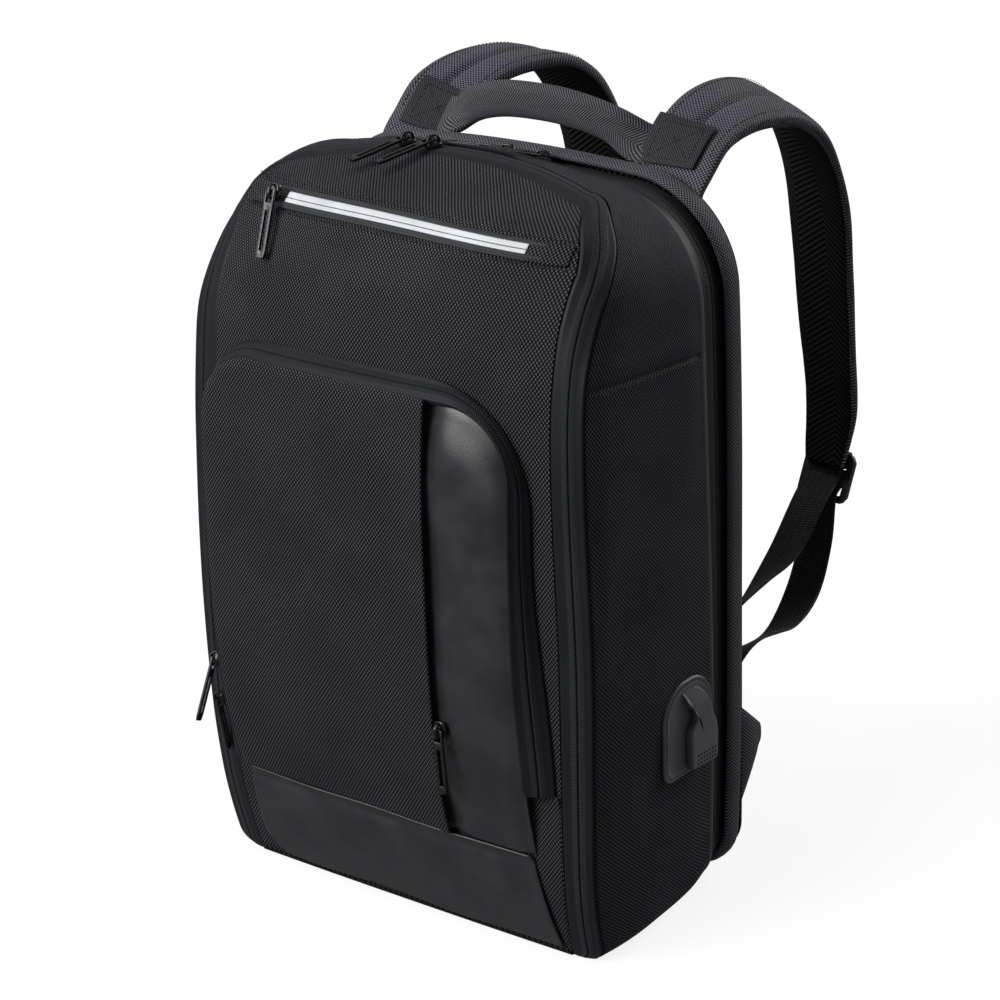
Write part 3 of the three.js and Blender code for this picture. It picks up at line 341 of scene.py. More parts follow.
def hardFinish(name, look):  # moulded or painted, rubbed along its edges
    paint, tree, shader, _ = newFinish(name, look["constants"])
    place = addNode(tree, "ShaderNodeTexCoord").outputs["Object"]
    worn = useGroup(tree, edgeWear, {"Vector": place, "Amount": look["wear"]})
    join(tree, blendTones(tree, worn["Wear"], look["dark"], look["light"]), shader.inputs["Base Color"])
    cloud = addNode(tree, "ShaderNodeTexNoise", {"Vector": place, "Scale": 900.0, "Detail": 2.0})
    join(tree, calc(tree, "MULTIPLY_ADD", cloud.outputs["Fac"], 0.12, look["roughness"]),
         shader.inputs["Roughness"])
    addBump(tree, shader, cloud.outputs["Fac"], 0.02, 0.3)
    return paint


finishes = {
    "frontWeave": weaveFinish("frontWeave", {
        "dark": (0.0012, 0.0012, 0.0016), "light": (0.08, 0.082, 0.098), "warp": 1.18, "weft": 1.6,
        "depth": 0.34, "roughness": 0.75, "gloss": 0.12, "sheen": 0.01, "rise": (0.47, 0.82)}),
    "sideWeave": weaveFinish("sideWeave", {
        "dark": (0.003, 0.003, 0.0038), "light": (0.066, 0.069, 0.085), "warp": 1.3, "weft": 1.4,
        "depth": 0.28, "roughness": 0.78, "gloss": 0.1, "sheen": 0.01}),
    "ribCloth": weaveFinish("ribCloth", {
        "dark": (0.01, 0.01, 0.0125), "light": (0.15, 0.152, 0.184), "warp": 1.25, "weft": 1.15,
        "depth": 0.24, "roughness": 0.76, "gloss": 0.12, "sheen": 0.03}),
    "patchCloth": weaveFinish("patchCloth", {
        "dark": (0.004, 0.004, 0.005), "light": (0.06, 0.061, 0.074), "warp": 0.9, "weft": 0.9,
        "depth": 0.16, "roughness": 0.76, "gloss": 0.12, "sheen": 0.02}),
    "webbingCloth": weaveFinish("webbingCloth", {
        "dark": (0.006, 0.006, 0.007), "light": (0.04, 0.04, 0.047), "warp": 5.0, "weft": 0.9,
        "depth": 0.16, "roughness": 0.7, "gloss": 0.15, "sheen": 0.03}),
    "backMesh": weaveFinish("backMesh", {
        "dark": (0.003, 0.003, 0.0035), "light": (0.07, 0.071, 0.082), "warp": 2.2, "weft": 2.6,
        "depth": 0.7, "roughness": 0.9, "gloss": 0.1, "sheen": 0.03}),
    # darkened well below the strap top's cloth as painted shade for the underside facing the bag; the base
    # piping uses it too
    "shadeDarkenedHerring": herringFinish("shadeDarkenedHerring", {
        "rows": {"Column": 26.0, "Offset": 16.0, "Pitch": 4.2, "Slant": 0.75},
        "dark": (0.0022, 0.0022, 0.0024), "light": (0.027, 0.027, 0.0283), "depth": 0.7, "gloss": 0.04}),
    "handleCloth": herringFinish("handleCloth", {
        "rows": {"Column": 9.0, "Offset": 4.5, "Pitch": 1.9, "Slant": 0.8},
        "dark": (0.01, 0.01, 0.011), "light": (0.147, 0.149, 0.17), "depth": 0.35, "gloss": 0.12}),
    "zipTape": tapeFinish("zipTape", {
        "dark": (0.0052, 0.0058, 0.0082), "light": (0.0076, 0.0084, 0.0114), "rib": (0.0172, 0.019, 0.0245),
        "half": 4.6, "depth": 0.26}),
    "binding": smoothFinish("binding", {
        "constants": {"Sheen Weight": 0.08, "Specular IOR Level": 0.3}, "size": 0.7,
        "dark": (0.0135, 0.0147, 0.0195), "light": (0.019, 0.021, 0.027), "roughness": 0.6, "dull": 0.1,
        "depth": 0.08}),
    "leather": smoothFinish("leather", {
        "constants": {"Specular IOR Level": 0.5}, "size": 0.9, "dark": (0.0165, 0.017, 0.0196),
        "light": (0.024, 0.0247, 0.0282), "roughness": 0.31, "dull": 0.12, "depth": 0.05}),
    "reflector": smoothFinish("reflector", {
        "constants": {"Specular IOR Level": 0.5}, "size": 0.5, "dark": (0.5, 0.51, 0.54),
        "light": (0.6, 0.61, 0.65), "roughness": 0.35, "dull": 0.15, "depth": 0.04}),
    "rubber": smoothFinish("rubber", {
        "constants": {"Specular IOR Level": 0.5}, "size": 0.5, "dark": (0.076, 0.079, 0.093),
        "light": (0.091, 0.0945, 0.11), "roughness": 0.42, "dull": 0.1, "depth": 0.04}),
    "thread": smoothFinish("thread", {
        "constants": {"Sheen Weight": 0.1, "Specular IOR Level": 0.3}, "size": 0.3,
        "dark": (0.012, 0.012, 0.014), "light": (0.02, 0.02, 0.023), "roughness": 0.7, "dull": 0.1,
        "depth": 0.05}),
    "gunmetal": hardFinish("gunmetal", {
        "constants": {"Metallic": 0.5, "Coat Weight": 0.25, "Coat Roughness": 0.15},
        "dark": (0.008, 0.008, 0.009), "light": (0.06, 0.06, 0.064), "roughness": 0.24, "wear": 0.8}),
    "bucklePlastic": hardFinish("bucklePlastic", {
        "constants": {"Specular IOR Level": 0.5}, "dark": (0.012, 0.012, 0.013),
        "light": (0.03, 0.03, 0.032), "roughness": 0.4, "wear": 0.5}),
    # near black: painted shade for the perforation holes
    "paintedHoleShade": hardFinish("paintedHoleShade", {
        "constants": {"Specular IOR Level": 0.1}, "dark": (0.001, 0.001, 0.001),
        "light": (0.002, 0.002, 0.002), "roughness": 0.8, "wear": 0.0}),
}
print("finishes made:", len(finishes))

# Sizes of the shell, in millimetres

frontEdges = {
    "z": [0, 30, 60, 110, 200, 300, 350, 375, 395, 410, 425, 440, 452, 460, 468],
    "panelHalf": [126, 128, 130, 132, 133, 130, 128, 128, 128.5, 129.8, 130.8, 133.3, 133.3, 133.3, 133.3],
    "panelDepth": [-70, -78, -83, -86.5, -87.5, -87, -83.5, -80, -75, -69, -59.5, -49, -35, -10, 6],
    "zipHalf": [145.5, 146.5, 148, 150.5, 152, 148.5, 146.5, 146, 146.1, 146.6, 147.7, 150, 150, 150, 150],
    "zipDepth": [-67, -75, -80, -83, -83.5, -83, -80, -76, -67.5, -58.5, -45.5, -29, -16.5, 0, 20],
}
rearEdges = {
    "z": [0, 60, 110, 200, 300, 375, 425, 468],
    "rearHalf": [149, 151, 152, 152.5, 152.5, 152.5, 152.5, 152.5],
    "gussetDepth": [45, 44.5, 44, 42, 38, 35, 34, 34],
    "rimDepth": [76, 77, 77, 77, 77, 75, 72, 71],
}
frontBelly = {
    "z": [0, 60, 300, 350, 400, 425, 440, 452, 460, 467],
    "belly": [1, 3, 4, 6, 11, 16, 19, 17, 8, 0],
    "fullness": [2.4, 2.4, 2.4, 2.6, 3, 3.4, 3.4, 3.4, 3.4, 3.4],
}
frontLine = {"table": frontEdges, "half": "panelHalf", "depth": "panelDepth"}
zipLine = {"table": frontEdges, "half": "zipHalf", "depth": "zipDepth"}
gussetLine = {"table": rearEdges, "half": "rearHalf", "depth": "gussetDepth"}
rimLine = {"table": rearEdges, "half": "rearHalf", "depth": "rimDepth"}
shellLines = {
    "panel": {**frontLine, "foot": 1.5, "top": 460.3, "footRadius": 1.5, "topRadius": 30, "crown": 8.5,
              "lean": -4.5, "pull": 9},
    "zip": {**zipLine, "foot": 0, "top": 460.5, "footRadius": 12, "topRadius": 45, "crown": 8, "lean": -5,
            "pull": 9},
    "gusset": {**gussetLine, "foot": 5, "top": 457, "footRadius": 24, "topRadius": 64, "crown": 4, "lean": -3,
               "pull": 5},
    "rim": {**rimLine, "foot": 7, "top": 459, "footRadius": 26, "topRadius": 67, "crown": 3, "lean": 0,
            "pull": 5},
}
leanRange = (370, 465)  # heights between which the soft top leans
topLeft = {"z": 428, "reach": 30, "from": -20, "to": -110}
seamShares = np.linspace(0.858, 0.932, 30)  # where the sides have a cross seam
lineSteps = {"foot": 8, "corner": 18, "top": 26}
sideShares = np.unique(np.concatenate([np.linspace(0, 1, 64), seamShares]))


def along(table, column, at, by="z"):  # a smooth curve through a column of a table
    x, y = np.array(table[by], float), np.array(table[column], float)
    slope = np.empty_like(y)
    slope[1:-1] = (y[2:] - y[:-2]) / (x[2:] - x[:-2])
    slope[0], slope[-1] = (y[1] - y[0]) / (x[1] - x[0]), (y[-1] - y[-2]) / (x[-1] - x[-2])
    at = np.clip(np.asarray(at, float), x[0], x[-1])
    i = np.clip(np.searchsorted(x, at, side="right") - 1, 0, len(x) - 2)
    span = x[i + 1] - x[i]
    t = (at - x[i]) / span
    rest = 1 - t
    bends = span * (slope[i] * t * rest**2 - slope[i + 1] * t**2 * rest)
    return y[i] * (1 + 2 * t) * rest**2 + y[i + 1] * (3 - 2 * t) * t**2 + bends


def smooth(low, high, value):
    t = np.clip((value - low) / (high - low), 0, 1)
    return t * t * (3 - 2 * t)


def bell(value, width):
    return np.exp(-((value / width) ** 2))


def unit(vectors):
    return vectors / np.linalg.norm(vectors, axis=-1, keepdims=True)


def power(value, n):  # a power that keeps the sign
    return np.sign(value) * np.abs(value) ** n


def wholeTurn(sides):  # angles once around a section
    return np.linspace(0, 2 * math.pi, sides, endpoint=False)


def leanAt(line, z):
    return line["lean"] * smooth(*leanRange, z)


def leftPull(line, x, z):  # the top left corner is pulled in a little
    return line["pull"] * bell(z - topLeft["z"], topLeft["reach"]) * smooth(topLeft["from"], topLeft["to"], x)


def shellLine(name, inset=0.0, back=0.0, swell=0.0, foot=None, pulled=True):
    line = shellLines[name]  # runs from the left foot over the top to the right foot
    grow = swell - inset
    bottom = (line["foot"] if foot is None else foot) + inset
    top = line["top"] + grow
    footRadius, topRadius = max(line["footRadius"] - inset, 0.2), line["topRadius"] + grow
    low, high = bottom + footRadius, top - topRadius

    def half(z):
        return along(line["table"], line["half"], z) + grow

    footTurn = np.linspace(0, math.pi / 2, lineSteps["foot"], endpoint=False)
    cornerTurn = np.linspace(0, math.pi / 2, lineSteps["corner"] + 1)[1:]
    topShare = np.linspace(0, 1, lineSteps["top"] + 1)[1:]
    crown = line["crown"] * (1 - (1 - topShare) ** 2)
    sideZ = low + (high - low) * sideShares
    cornerX = half(high) - topRadius
    x = np.concatenate([half(low) - footRadius * (1 - np.sin(footTurn)), half(sideZ),
                        cornerX + topRadius * np.cos(cornerTurn), cornerX * (1 - topShare)])
    z = np.concatenate([bottom + footRadius * (1 - np.cos(footTurn)), sideZ,
                        high + topRadius * np.sin(cornerTurn), top + crown])
    y = along(line["table"], line["depth"], z) + back
    right = np.stack([x, y, z], 1)
    left = right[:-1] * (-1, 1, 1)
    whole = np.concatenate([left, right[::-1]])
    if pulled:
        whole[:, 0] += leftPull(line, whole[:, 0], whole[:, 2])
    whole[:, 0] += leanAt(line, whole[:, 2])
    return whole


def frontDepth(x, z):  # the front panel's outer face
    line = shellLines["panel"]
    corner = line["top"] - line["topRadius"]
    rise = np.clip(z - corner, 0, line["topRadius"])
    half = along(frontEdges, "panelHalf", np.minimum(z, corner)) - line["topRadius"]
    half = half + np.sqrt(line["topRadius"] ** 2 - rise**2)
    across = np.minimum(np.abs(x - leanAt(line, z)) / half, 1)
    bulge = 1 - across ** along(frontBelly, "fullness", z)
    return along(frontEdges, "panelDepth", z) - along(frontBelly, "belly", z) * bulge


def frontNormal(x, z):
    slopeX = (frontDepth(x + 1, z) - frontDepth(x - 1, z)) / 2
    slopeZ = (frontDepth(x, z + 1) - frontDepth(x, z - 1)) / 2
    return unit(np.stack([slopeX, np.full_like(slopeX, -1), slopeZ], -1))


def onFront(x, z, lift=0.0):
    x, z = np.broadcast_arrays(np.asarray(x, float), np.asarray(z, float))
    face = np.stack([x, frontDepth(x, z), z], -1)
    return face + frontNormal(x, z) * np.asarray(lift, float)[..., None]


def ripple(a, b, size, seed):  # uneven cloth, about -1 to 1
    draw = np.random.default_rng(seed)
    turn, waves = 6.28, 7
    total = np.zeros(np.broadcast(a, b).shape)
    for _ in range(waves):
        angle, phase, pace = draw.uniform(0, turn), draw.uniform(0, turn), draw.uniform(0.6, 1.6)
        total += np.sin((a * math.cos(angle) + b * math.sin(angle)) * turn * pace / size + phase)
    return total * 2 / waves


# Mesh making


def newShape():
    return {"points": [], "faces": [], "uvs": [], "slots": [], "count": 0}


def addFaces(shape, points, parts):  # parts are rows of (corner ids, corner places, slot) of one closed body
    volume = 0.0
    for ids, _, _ in parts:
        a = points[ids[:, 0]]
        for k in range(1, ids.shape[1] - 1):
            volume += np.sum(a * np.cross(points[ids[:, k]], points[ids[:, k + 1]]))
    for ids, places, slot in parts:
        if volume < 0:
            ids, places = ids[:, ::-1], places[:, ::-1]
        shape["faces"].append(ids + shape["count"])
        shape["uvs"].append(places)
        shape["slots"].append(np.broadcast_to(slot, len(ids)))
    shape["points"].append(points)
    shape["count"] += len(points)


def gridIds(rows, columns, wrap=False, wrapRows=False):
    r, c = np.meshgrid(np.arange(rows if wrapRows else rows - 1), np.arange(columns if wrap else columns - 1),
                       indexing="ij")
    r, c = r.ravel(), c.ravel()
    nextR, nextC = (r + 1) % rows, (c + 1) % columns
    ids = np.stack([r * columns + c, r * columns + nextC, nextR * columns + nextC, nextR * columns + c], 1)
    wide = columns + wrap
    places = np.stack([r * wide + c, r * wide + c + 1, (r + 1) * wide + c + 1, (r + 1) * wide + c], 1)
    return ids, places, c


def gridNormals(grid):
    normal = np.cross(np.gradient(grid, axis=1), np.gradient(grid, axis=0))
    normal /= np.maximum(np.linalg.norm(normal, axis=2, keepdims=True), 1e-9)
    outward = np.mean(np.sum(normal * (grid - bagMiddle), axis=2))
    return normal if outward > 0 else -normal


def addWall(shape, outer, uv, thickness, edge, inner=None):  # a closed sheet with rounded edges
    rows, columns = outer.shape[:2]
    normal = gridNormals(outer)
    if inner is None:
        inner = outer - normal * thickness
    tangent, drift = np.zeros_like(outer), np.zeros_like(uv)
    for axis, ends in ((0, (np.s_[0], np.s_[-1])), (1, (np.s_[:, 0], np.s_[:, -1]))):
        step = np.gradient(outer, axis=axis)
        reach = np.maximum(np.linalg.norm(step, axis=2, keepdims=True), 1e-9)
        stepUv = np.gradient(uv, axis=axis) / reach
        for end, sign in zip(ends, (-1, 1)):
            tangent[end] += sign * (step / reach)[end]
            drift[end] += sign * stepUv[end]
    number = np.arange(rows * columns).reshape(rows, columns)
    loop = np.concatenate([number[0, :-1], number[:-1, -1], number[-1, :0:-1], number[:0:-1, 0]])
    flat = [a.reshape(-1, 3)[loop] for a in (outer, normal, tangent, inner)]
    out = flat[2] / np.maximum(np.linalg.norm(flat[2], axis=1, keepdims=True), 1e-9)
    slant, upright = 0.79, 1.57  # angles at which the edge turns over
    rings = [flat[0] + out * edge * math.sin(a) - flat[1] * edge * (1 - math.cos(a))
             for a in (slant, upright)]
    rings.append(flat[3] + out * edge * 0.7)
    points = np.concatenate([outer.reshape(-1, 3), inner.reshape(-1, 3), *rings])
    ids, places, _ = gridIds(rows, columns)
    flatUv = uv.reshape(-1, 2)
    total, size = rows * columns, len(loop)
    loops = [loop, *[2 * total + k * size + np.arange(size) for k in range(3)], loop + total]
    parts = [(ids, flatUv[places], 0), (ids[:, ::-1] + total, flatUv[places][:, ::-1], 0)]
    reaches = [0, slant * edge, upright * edge, upright * edge + thickness, 2.2 * edge + thickness]
    ringUv = [flatUv[loop] + drift.reshape(-1, 2)[loop] * r for r in reaches]
    for a, b, uvA, uvB in zip(loops, loops[1:], ringUv, ringUv[1:]):
        strip = np.stack([np.roll(a, -1), a, b, np.roll(b, -1)], 1)
        stripUv = np.stack([np.roll(uvA, -1, 0), uvA, uvB, np.roll(uvB, -1, 0)], 1)
        parts.append((strip, stripUv, 0))
    addFaces(shape, points, parts)


def addTube(shape, rings, uv, slot=0, ring=False):  # sections along a run: capped, or joined into a ring
    rows, columns = rings.shape[:2]
    ids, places, column = gridIds(rows, columns, True, ring)
    flatUv = uv.reshape(-1, 2)
    slots = np.asarray(slot)[column] if np.ndim(slot) else slot
    points = rings.reshape(-1, 3)
    parts = [(ids, flatUv[places], slots)]
    if not ring:
        middles = np.stack([rings[0].mean(0), rings[-1].mean(0)])
        points = np.concatenate([points, middles])
        c = np.arange(columns)
        nextC = (c + 1) % columns
        last = (rows - 1) * columns
        total = rows * columns
        startCap = np.stack([np.full(columns, total), nextC, c], 1)
        endCap = np.stack([np.full(columns, total + 1), last + c, last + nextC], 1)
        capSlot = np.asarray(slot)[0] if np.ndim(slot) else slot
        parts.append((startCap, np.broadcast_to(uv[0, 0], (columns, 3, 2)), capSlot))
        parts.append((endCap, np.broadcast_to(uv[-1, 0], (columns, 3, 2)), capSlot))
    addFaces(shape, points, parts)


def lengths(line):
    steps = np.linalg.norm(np.diff(line, axis=0), axis=1)
    return np.concatenate([[0], np.cumsum(steps)])


def curvePoint(points, share):  # a centripetal curve through the points
    last = len(points) - 1
    place = min(max(share, 0.0), 1.0) * last
    i = min(int(place), last - 1)
    t = place - i
    before = points[i - 1] if i > 0 else 2 * points[0] - points[1]
    after = points[i + 2] if i + 2 <= last else 2 * points[last] - points[last - 1]
    a, b, c, d = before, points[i], points[i + 1], after
    d0, d1, d2 = (max(float(np.linalg.norm(q - p)) ** 0.5, 1e-6) for p, q in ((a, b), (b, c), (c, d)))
    t1 = ((b - a) / d0 - (c - a) / (d0 + d1) + (c - b) / d1) * d1
    t2 = ((c - b) / d1 - (d - b) / (d1 + d2) + (d - c) / d2) * d1
    return b + t1 * t + (-3 * b + 3 * c - 2 * t1 - t2) * t**2 + (2 * b - 2 * c + t1 + t2) * t**3


stitch = {"pitch": 3.3, "length": 2.4, "radius": 0.36, "sides": 5}


def addStitches(shape, line, normal, pitch=stitch["pitch"]):
    run = lengths(line)
    at = np.arange(pitch / 2, run[-1], pitch)
    if len(at) == 0:
        return

    def sample(values, places):
        return np.stack([np.interp(places, run, values[:, k]) for k in range(3)], 1)

    middle, up = sample(line, at), sample(np.broadcast_to(normal, line.shape), at)
    ahead = unit(sample(line, np.minimum(at + 0.6, run[-1])) - sample(line, np.maximum(at - 0.6, 0)))
    up = unit(up)
    side = np.cross(ahead, up)
    sides, radius, reach = stitch["sides"], stitch["radius"], stitch["length"]
    turn = wholeTurn(sides)
    bead = [(-0.5 * reach, -0.3 * radius, 0.0)]
    for share in (-0.26, 0.26):
        bead += [(share * reach, radius * (0.85 * math.cos(t) + 0.2), radius * math.sin(t)) for t in turn]
    bead = np.array(bead + [(0.5 * reach, -0.3 * radius, 0.0)])
    points = (middle[:, None] + bead[None, :, :1] * ahead[:, None] + bead[None, :, 1:2] * up[:, None]
              + bead[None, :, 2:] * side[:, None])
    count = len(bead)
    c = np.arange(sides)
    n = (c + 1) % sides
    first = np.stack([np.zeros(sides, int), 1 + n, 1 + c], 1)
    barrel = np.stack([1 + c, 1 + n, 1 + sides + n, 1 + sides + c], 1)
    last = np.stack([np.full(sides, count - 1), 1 + sides + c, 1 + sides + n], 1)
    shift = (np.arange(len(at)) * count)[:, None, None]
    parts = []
    for ids in (first, barrel, last):
        every = (ids[None] + shift).reshape(-1, ids.shape[1])
        parts.append((every, np.zeros((*every.shape, 2)) + points.reshape(-1, 3)[every][..., ::2], 0))
    addFaces(shape, points.reshape(-1, 3), parts)


def finishMesh(name, shape, *paints):
    mesh = bpy.data.meshes.new(name)
    points = np.concatenate(shape["points"]) * mm
    sizes = np.concatenate([np.full(len(f), f.shape[1]) for f in shape["faces"]])
    corners = np.concatenate([f.ravel() for f in shape["faces"]])
    mesh.vertices.add(len(points))
    mesh.vertices.foreach_set("co", points.astype(np.float32).ravel())
    mesh.loops.add(len(corners))
    mesh.loops.foreach_set("vertex_index", corners.astype(np.int32))
    mesh.polygons.add(len(sizes))
    mesh.polygons.foreach_set("loop_start", (np.cumsum(sizes) - sizes).astype(np.int32))
    for paint in paints:
        mesh.materials.append(finishes[paint])
    mesh.polygons.foreach_set("material_index", np.concatenate(shape["slots"]).astype(np.int32))
    layer = mesh.uv_layers.new(name="cloth")
    uvs = np.concatenate([u.reshape(-1, 2) for u in shape["uvs"]])
    layer.data.foreach_set("uv", uvs.astype(np.float32).ravel())
    mesh.update(calc_edges=True)
    mesh.validate()
    mesh.shade_smooth()
    made = bpy.data.objects.new(name, mesh)
    bpy.context.scene.collection.objects.link(made)
    return made


def settle(piece, slot, *nodes, body="root", fill=None):  # hangs a piece on its body and hides the CAD nodes it stands for
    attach(piece, body)
    if nodes:
        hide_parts(*nodes)
    return piece


def sewWall(name, paint, slot, nodes, grid, uv, size, inner=None):  # one wall as a piece of its own
    shape = newShape()
    addWall(shape, grid, uv, size["thickness"], size["edge"], inner)
    settle(finishMesh(name, shape, paint), slot, *nodes, fill=size.get("fill"))


def sewTube(name, paint, slot, nodes, rings, uv, fill=None):
    shape = newShape()
    addTube(shape, rings, uv)
    return settle(finishMesh(name, shape, paint), slot, *nodes, fill=fill)


def sideName(side):
    return "right" if side > 0 else "left"


# Front panel, with the seams above and below the upper zip

frontPanel = {"edge": 0.7, "inset": 1.5, "thickness": 2.4, "rows": 96, "crestRows": 64, "crestFrom": 0.905,
              "seamDip": 1.2, "seamHalf": 1.1, "seams": (5.2, -5.8), "seamEnd": (1, 7), "stitchGap": 1.3,
              "stitchSpan": (-119, 124), "unevenness": 0.45, "ripple": (95, 3), "hem": 22, "footHem": 20,
              "fill": 0.3}
upperZip = {"height": 442, "rise": 3, "tilt": 0.025, "span": 128}
bodyStitches = newShape()


def upperZipHeight(x):
    return upperZip["height"] + upperZip["rise"] * (1 - (x / upperZip["span"]) ** 2) - upperZip["tilt"] * x


def makeFrontPanel(size):
    inset = size["inset"] + size["edge"]
    edge = shellLine("panel", inset=inset, pulled=False)
    first = lineSteps["foot"] + len(sideShares) - 1
    top = edge[first:len(edge) - first]
    low = edge[lineSteps["foot"], 2]
    corner = top[0, 2]
    topHalf = along(frontEdges, "panelHalf", corner) - inset
    line = shellLines["panel"]
    shares = np.concatenate([np.linspace(0, size["crestFrom"], size["rows"]),
                             np.linspace(size["crestFrom"], 1, size["crestRows"])[1:]])
    z = low + (top[None, :, 2] - low) * shares[:, None]
    half = along(frontEdges, "panelHalf", np.minimum(z, corner)) - inset
    reach = (top[:, 0] - leanAt(line, top[:, 2])) / topHalf
    x = reach[None] * half + leanAt(line, z)
    grid = np.stack([x + leftPull(line, x, z), frontDepth(x, z), z], -1)
    normal = gridNormals(grid)
    margin = half - np.abs(x - leanAt(line, z))
    held = smooth(0, size["hem"], margin) * smooth(0, size["footHem"], z - low)
    uneven = size["unevenness"] * ripple(x, z, *size["ripple"]) * held
    seams = sum(bell(z - upperZipHeight(x) - off, size["seamHalf"]) for off in size["seams"])
    dip = size["seamDip"] * seams * smooth(*size["seamEnd"], margin)
    grid = grid + normal * (uneven - dip)[..., None]
    middle = grid.shape[1] // 2
    run = lengths(grid[:, middle])
    uv = np.stack([x, np.interp(z, z[:, middle], run)], -1)  # threads run level and upright
    sewWall("front_cloth", "frontWeave", "woven_cloth", ["front_panel"], grid, uv, size)
    reach = np.linspace(*size["stitchSpan"], 240)
    for off in size["seams"]:
        across = reach + leanAt(line, upperZipHeight(reach))
        height = upperZipHeight(across) + off + math.copysign(size["stitchGap"], off)
        addStitches(bodyStitches, onFront(across, height, 0.1), frontNormal(across, height))


makeFrontPanel(frontPanel)
print("front panel made")

# Zip tapes: two satin borders, raised rows beside a sunk middle line

tape = {"thickness": 1.1, "edge": 0.3, "ridge": 0.65, "ridgeHalf": 4.2, "groove": 0.85, "grooveHalf": 0.55}
tapeShares = np.array([0, 0.06, 0.13, 0.2, 0.26, 0.31, 0.36, 0.41, 0.45, 0.47, 0.485, 0.5,
                       0.515, 0.53, 0.55, 0.59, 0.64, 0.69, 0.74, 0.8, 0.87, 0.94, 1])


def sewTape(name, node, first, second, middle, tucks):
    shares = np.where(tapeShares < 0.5, tapeShares * 2 * middle, 1 - (1 - tapeShares) * 2 * (1 - middle))
    flat = first[None] * (1 - shares[:, None, None]) + second[None] * shares[:, None, None]
    width = np.linalg.norm(second - first, axis=1)
    off = (shares[:, None] - middle) * width[None]
    rise = tape["ridge"] * bell(off, tape["ridgeHalf"]) - tape["groove"] * bell(off, tape["grooveHalf"])
    grid = flat + gridNormals(flat) * rise[..., None]
    run = lengths(grid[len(shares) // 2])
    for at, line, reach in tucks:  # hidden margins that lie under the neighbours
        row = line[None]
        edge = off[:1] - reach if at == 0 else off[-1:] + reach
        grid = np.concatenate([row, grid] if at == 0 else [grid, row])
        off = np.concatenate([edge, off] if at == 0 else [off, edge])
    uv = np.stack([off, np.broadcast_to(run[None], off.shape)], -1)
    sewWall(name, "zipTape", "zip_tape", [node], grid, uv, tape)


frontTape = {"inset": 0.3, "middle": 0.52, "panelTuck": {"inset": 8, "back": 2.9},
             "zipTuck": {"inset": 3.2, "back": 8}, "tuck": 8}


def makeFrontTape(size):
    tucks = [(0, shellLine("panel", **size["panelTuck"]), size["tuck"]),
             (1, shellLine("zip", **size["zipTuck"]), size["tuck"])]
    first, second = (shellLine(name, inset=size["inset"]) for name in ("panel", "zip"))
    sewTape("front_zip", "front_zip_tape", first, second, size["middle"], tucks)


makeFrontTape(frontTape)

# Gusset with a cross seam on each side, its rear binding and the rear tape

gusset = {"rows": 44, "thickness": 2.4, "edge": 0.8, "seamFront": 369, "seamFall": 6, "seamDip": 1.3,
          "seamHalf": 1.6, "puff": 0.9, "puffAbove": 9, "puffHalf": 7, "sideFrom": 120, "sideTo": 135,
          "stitchDrop": 3.2, "unevenness": 0.6, "ripple": (120, 11), "frontShare": 0.012,
          "rearShare": 0.975, "fill": 0.3}
gussetSections = {"share": [0, 0.14, 0.45, 0.8, 1], "swell": [0, 2.2, 3.4, 2.4, 0], "foot": [0, 0, 0, 0, 5],
                  "back": [1.8, 0, 0, 0, 0]}
gussetBinding = {"half": 4.2, "rise": 1.5, "back": -2.6, "sides": 14, "inset": 0.9}


def gussetRow(share):
    swell, foot, back = (float(along(gussetSections, k, share, "share"))
                         for k in ("swell", "foot", "back"))
    front = shellLine("zip", swell=swell, foot=foot, back=back)
    return front * (1 - share) + shellLine("gusset", swell=swell, foot=foot) * share


def makeGusset(size):
    shares = np.linspace(size["frontShare"], size["rearShare"], size["rows"])
    grid = np.stack([gussetRow(s) for s in shares])
    normal = gridNormals(grid)
    seam = size["seamFront"] - size["seamFall"] * shares[:, None]
    above = grid[..., 2] - seam
    onSide = smooth(size["sideFrom"], size["sideTo"], np.abs(grid[..., 0]))
    dip = size["seamDip"] * bell(above, size["seamHalf"]) * onSide
    puff = size["puff"] * bell(above - size["puffAbove"], size["puffHalf"]) * onSide
    puff = puff * smooth(0, 0.2, shares)[:, None]
    held = (smooth(0, 0.15, shares) * smooth(1, 0.8, shares))[:, None]
    run = lengths(grid[len(shares) // 2])
    depth = lengths(grid[:, grid.shape[1] // 4])
    uneven = size["unevenness"] * ripple(depth[:, None], run[None], *size["ripple"]) * held
    grid = grid + normal * (uneven + puff - dip)[..., None]
    uv = np.stack(np.broadcast_arrays(depth[:, None], run[None]), -1)
    sewWall("gusset_cloth", "sideWeave", "woven_cloth", ["main_gusset"], grid, uv, size)
    for side in (-1, 1):  # a row of stitches under each cross seam
        line, up = [], []
        for r in range(2, len(shares) - 1):
            columns = np.where(grid[r, :, 0] * side > size["sideFrom"])[0]
            c = columns[np.argmin(np.abs(grid[r, columns, 2] - seam[r, 0] + size["stitchDrop"]))]
            line.append(grid[r, c] + normal[r, c] * 0.1)
            up.append(normal[r, c])
        addStitches(bodyStitches, np.array(line), np.array(up))


def tubeUv(rings):
    section = rings[rings.shape[0] // 2]
    around = lengths(np.concatenate([section, section[:1]]))
    run = lengths(rings[:, 0])
    return np.stack(np.broadcast_arrays(around[None], run[:, None]), -1)


def makeGussetBinding(size):  # flat oval sections along the shell's rear edge
    line = shellLine("gusset", inset=size["inset"], back=size["back"])
    ahead = unit(np.gradient(line, axis=0))
    deep = np.array([0.0, 1.0, 0.0])
    deep = unit(deep - ahead * (ahead @ deep)[:, None])
    out = np.cross(ahead, deep)
    out *= np.sign(np.sum(out * (line - bagMiddle), axis=1, keepdims=True))
    turn = wholeTurn(size["sides"])
    wide, high = size["half"] * np.cos(turn), size["rise"] * np.sin(turn)
    rings = line[:, None] + wide[None, :, None] * deep[:, None] + high[None, :, None] * out[:, None]
    sewTube("gusset_binding", "binding", "zip_tape", [], rings, tubeUv(rings))


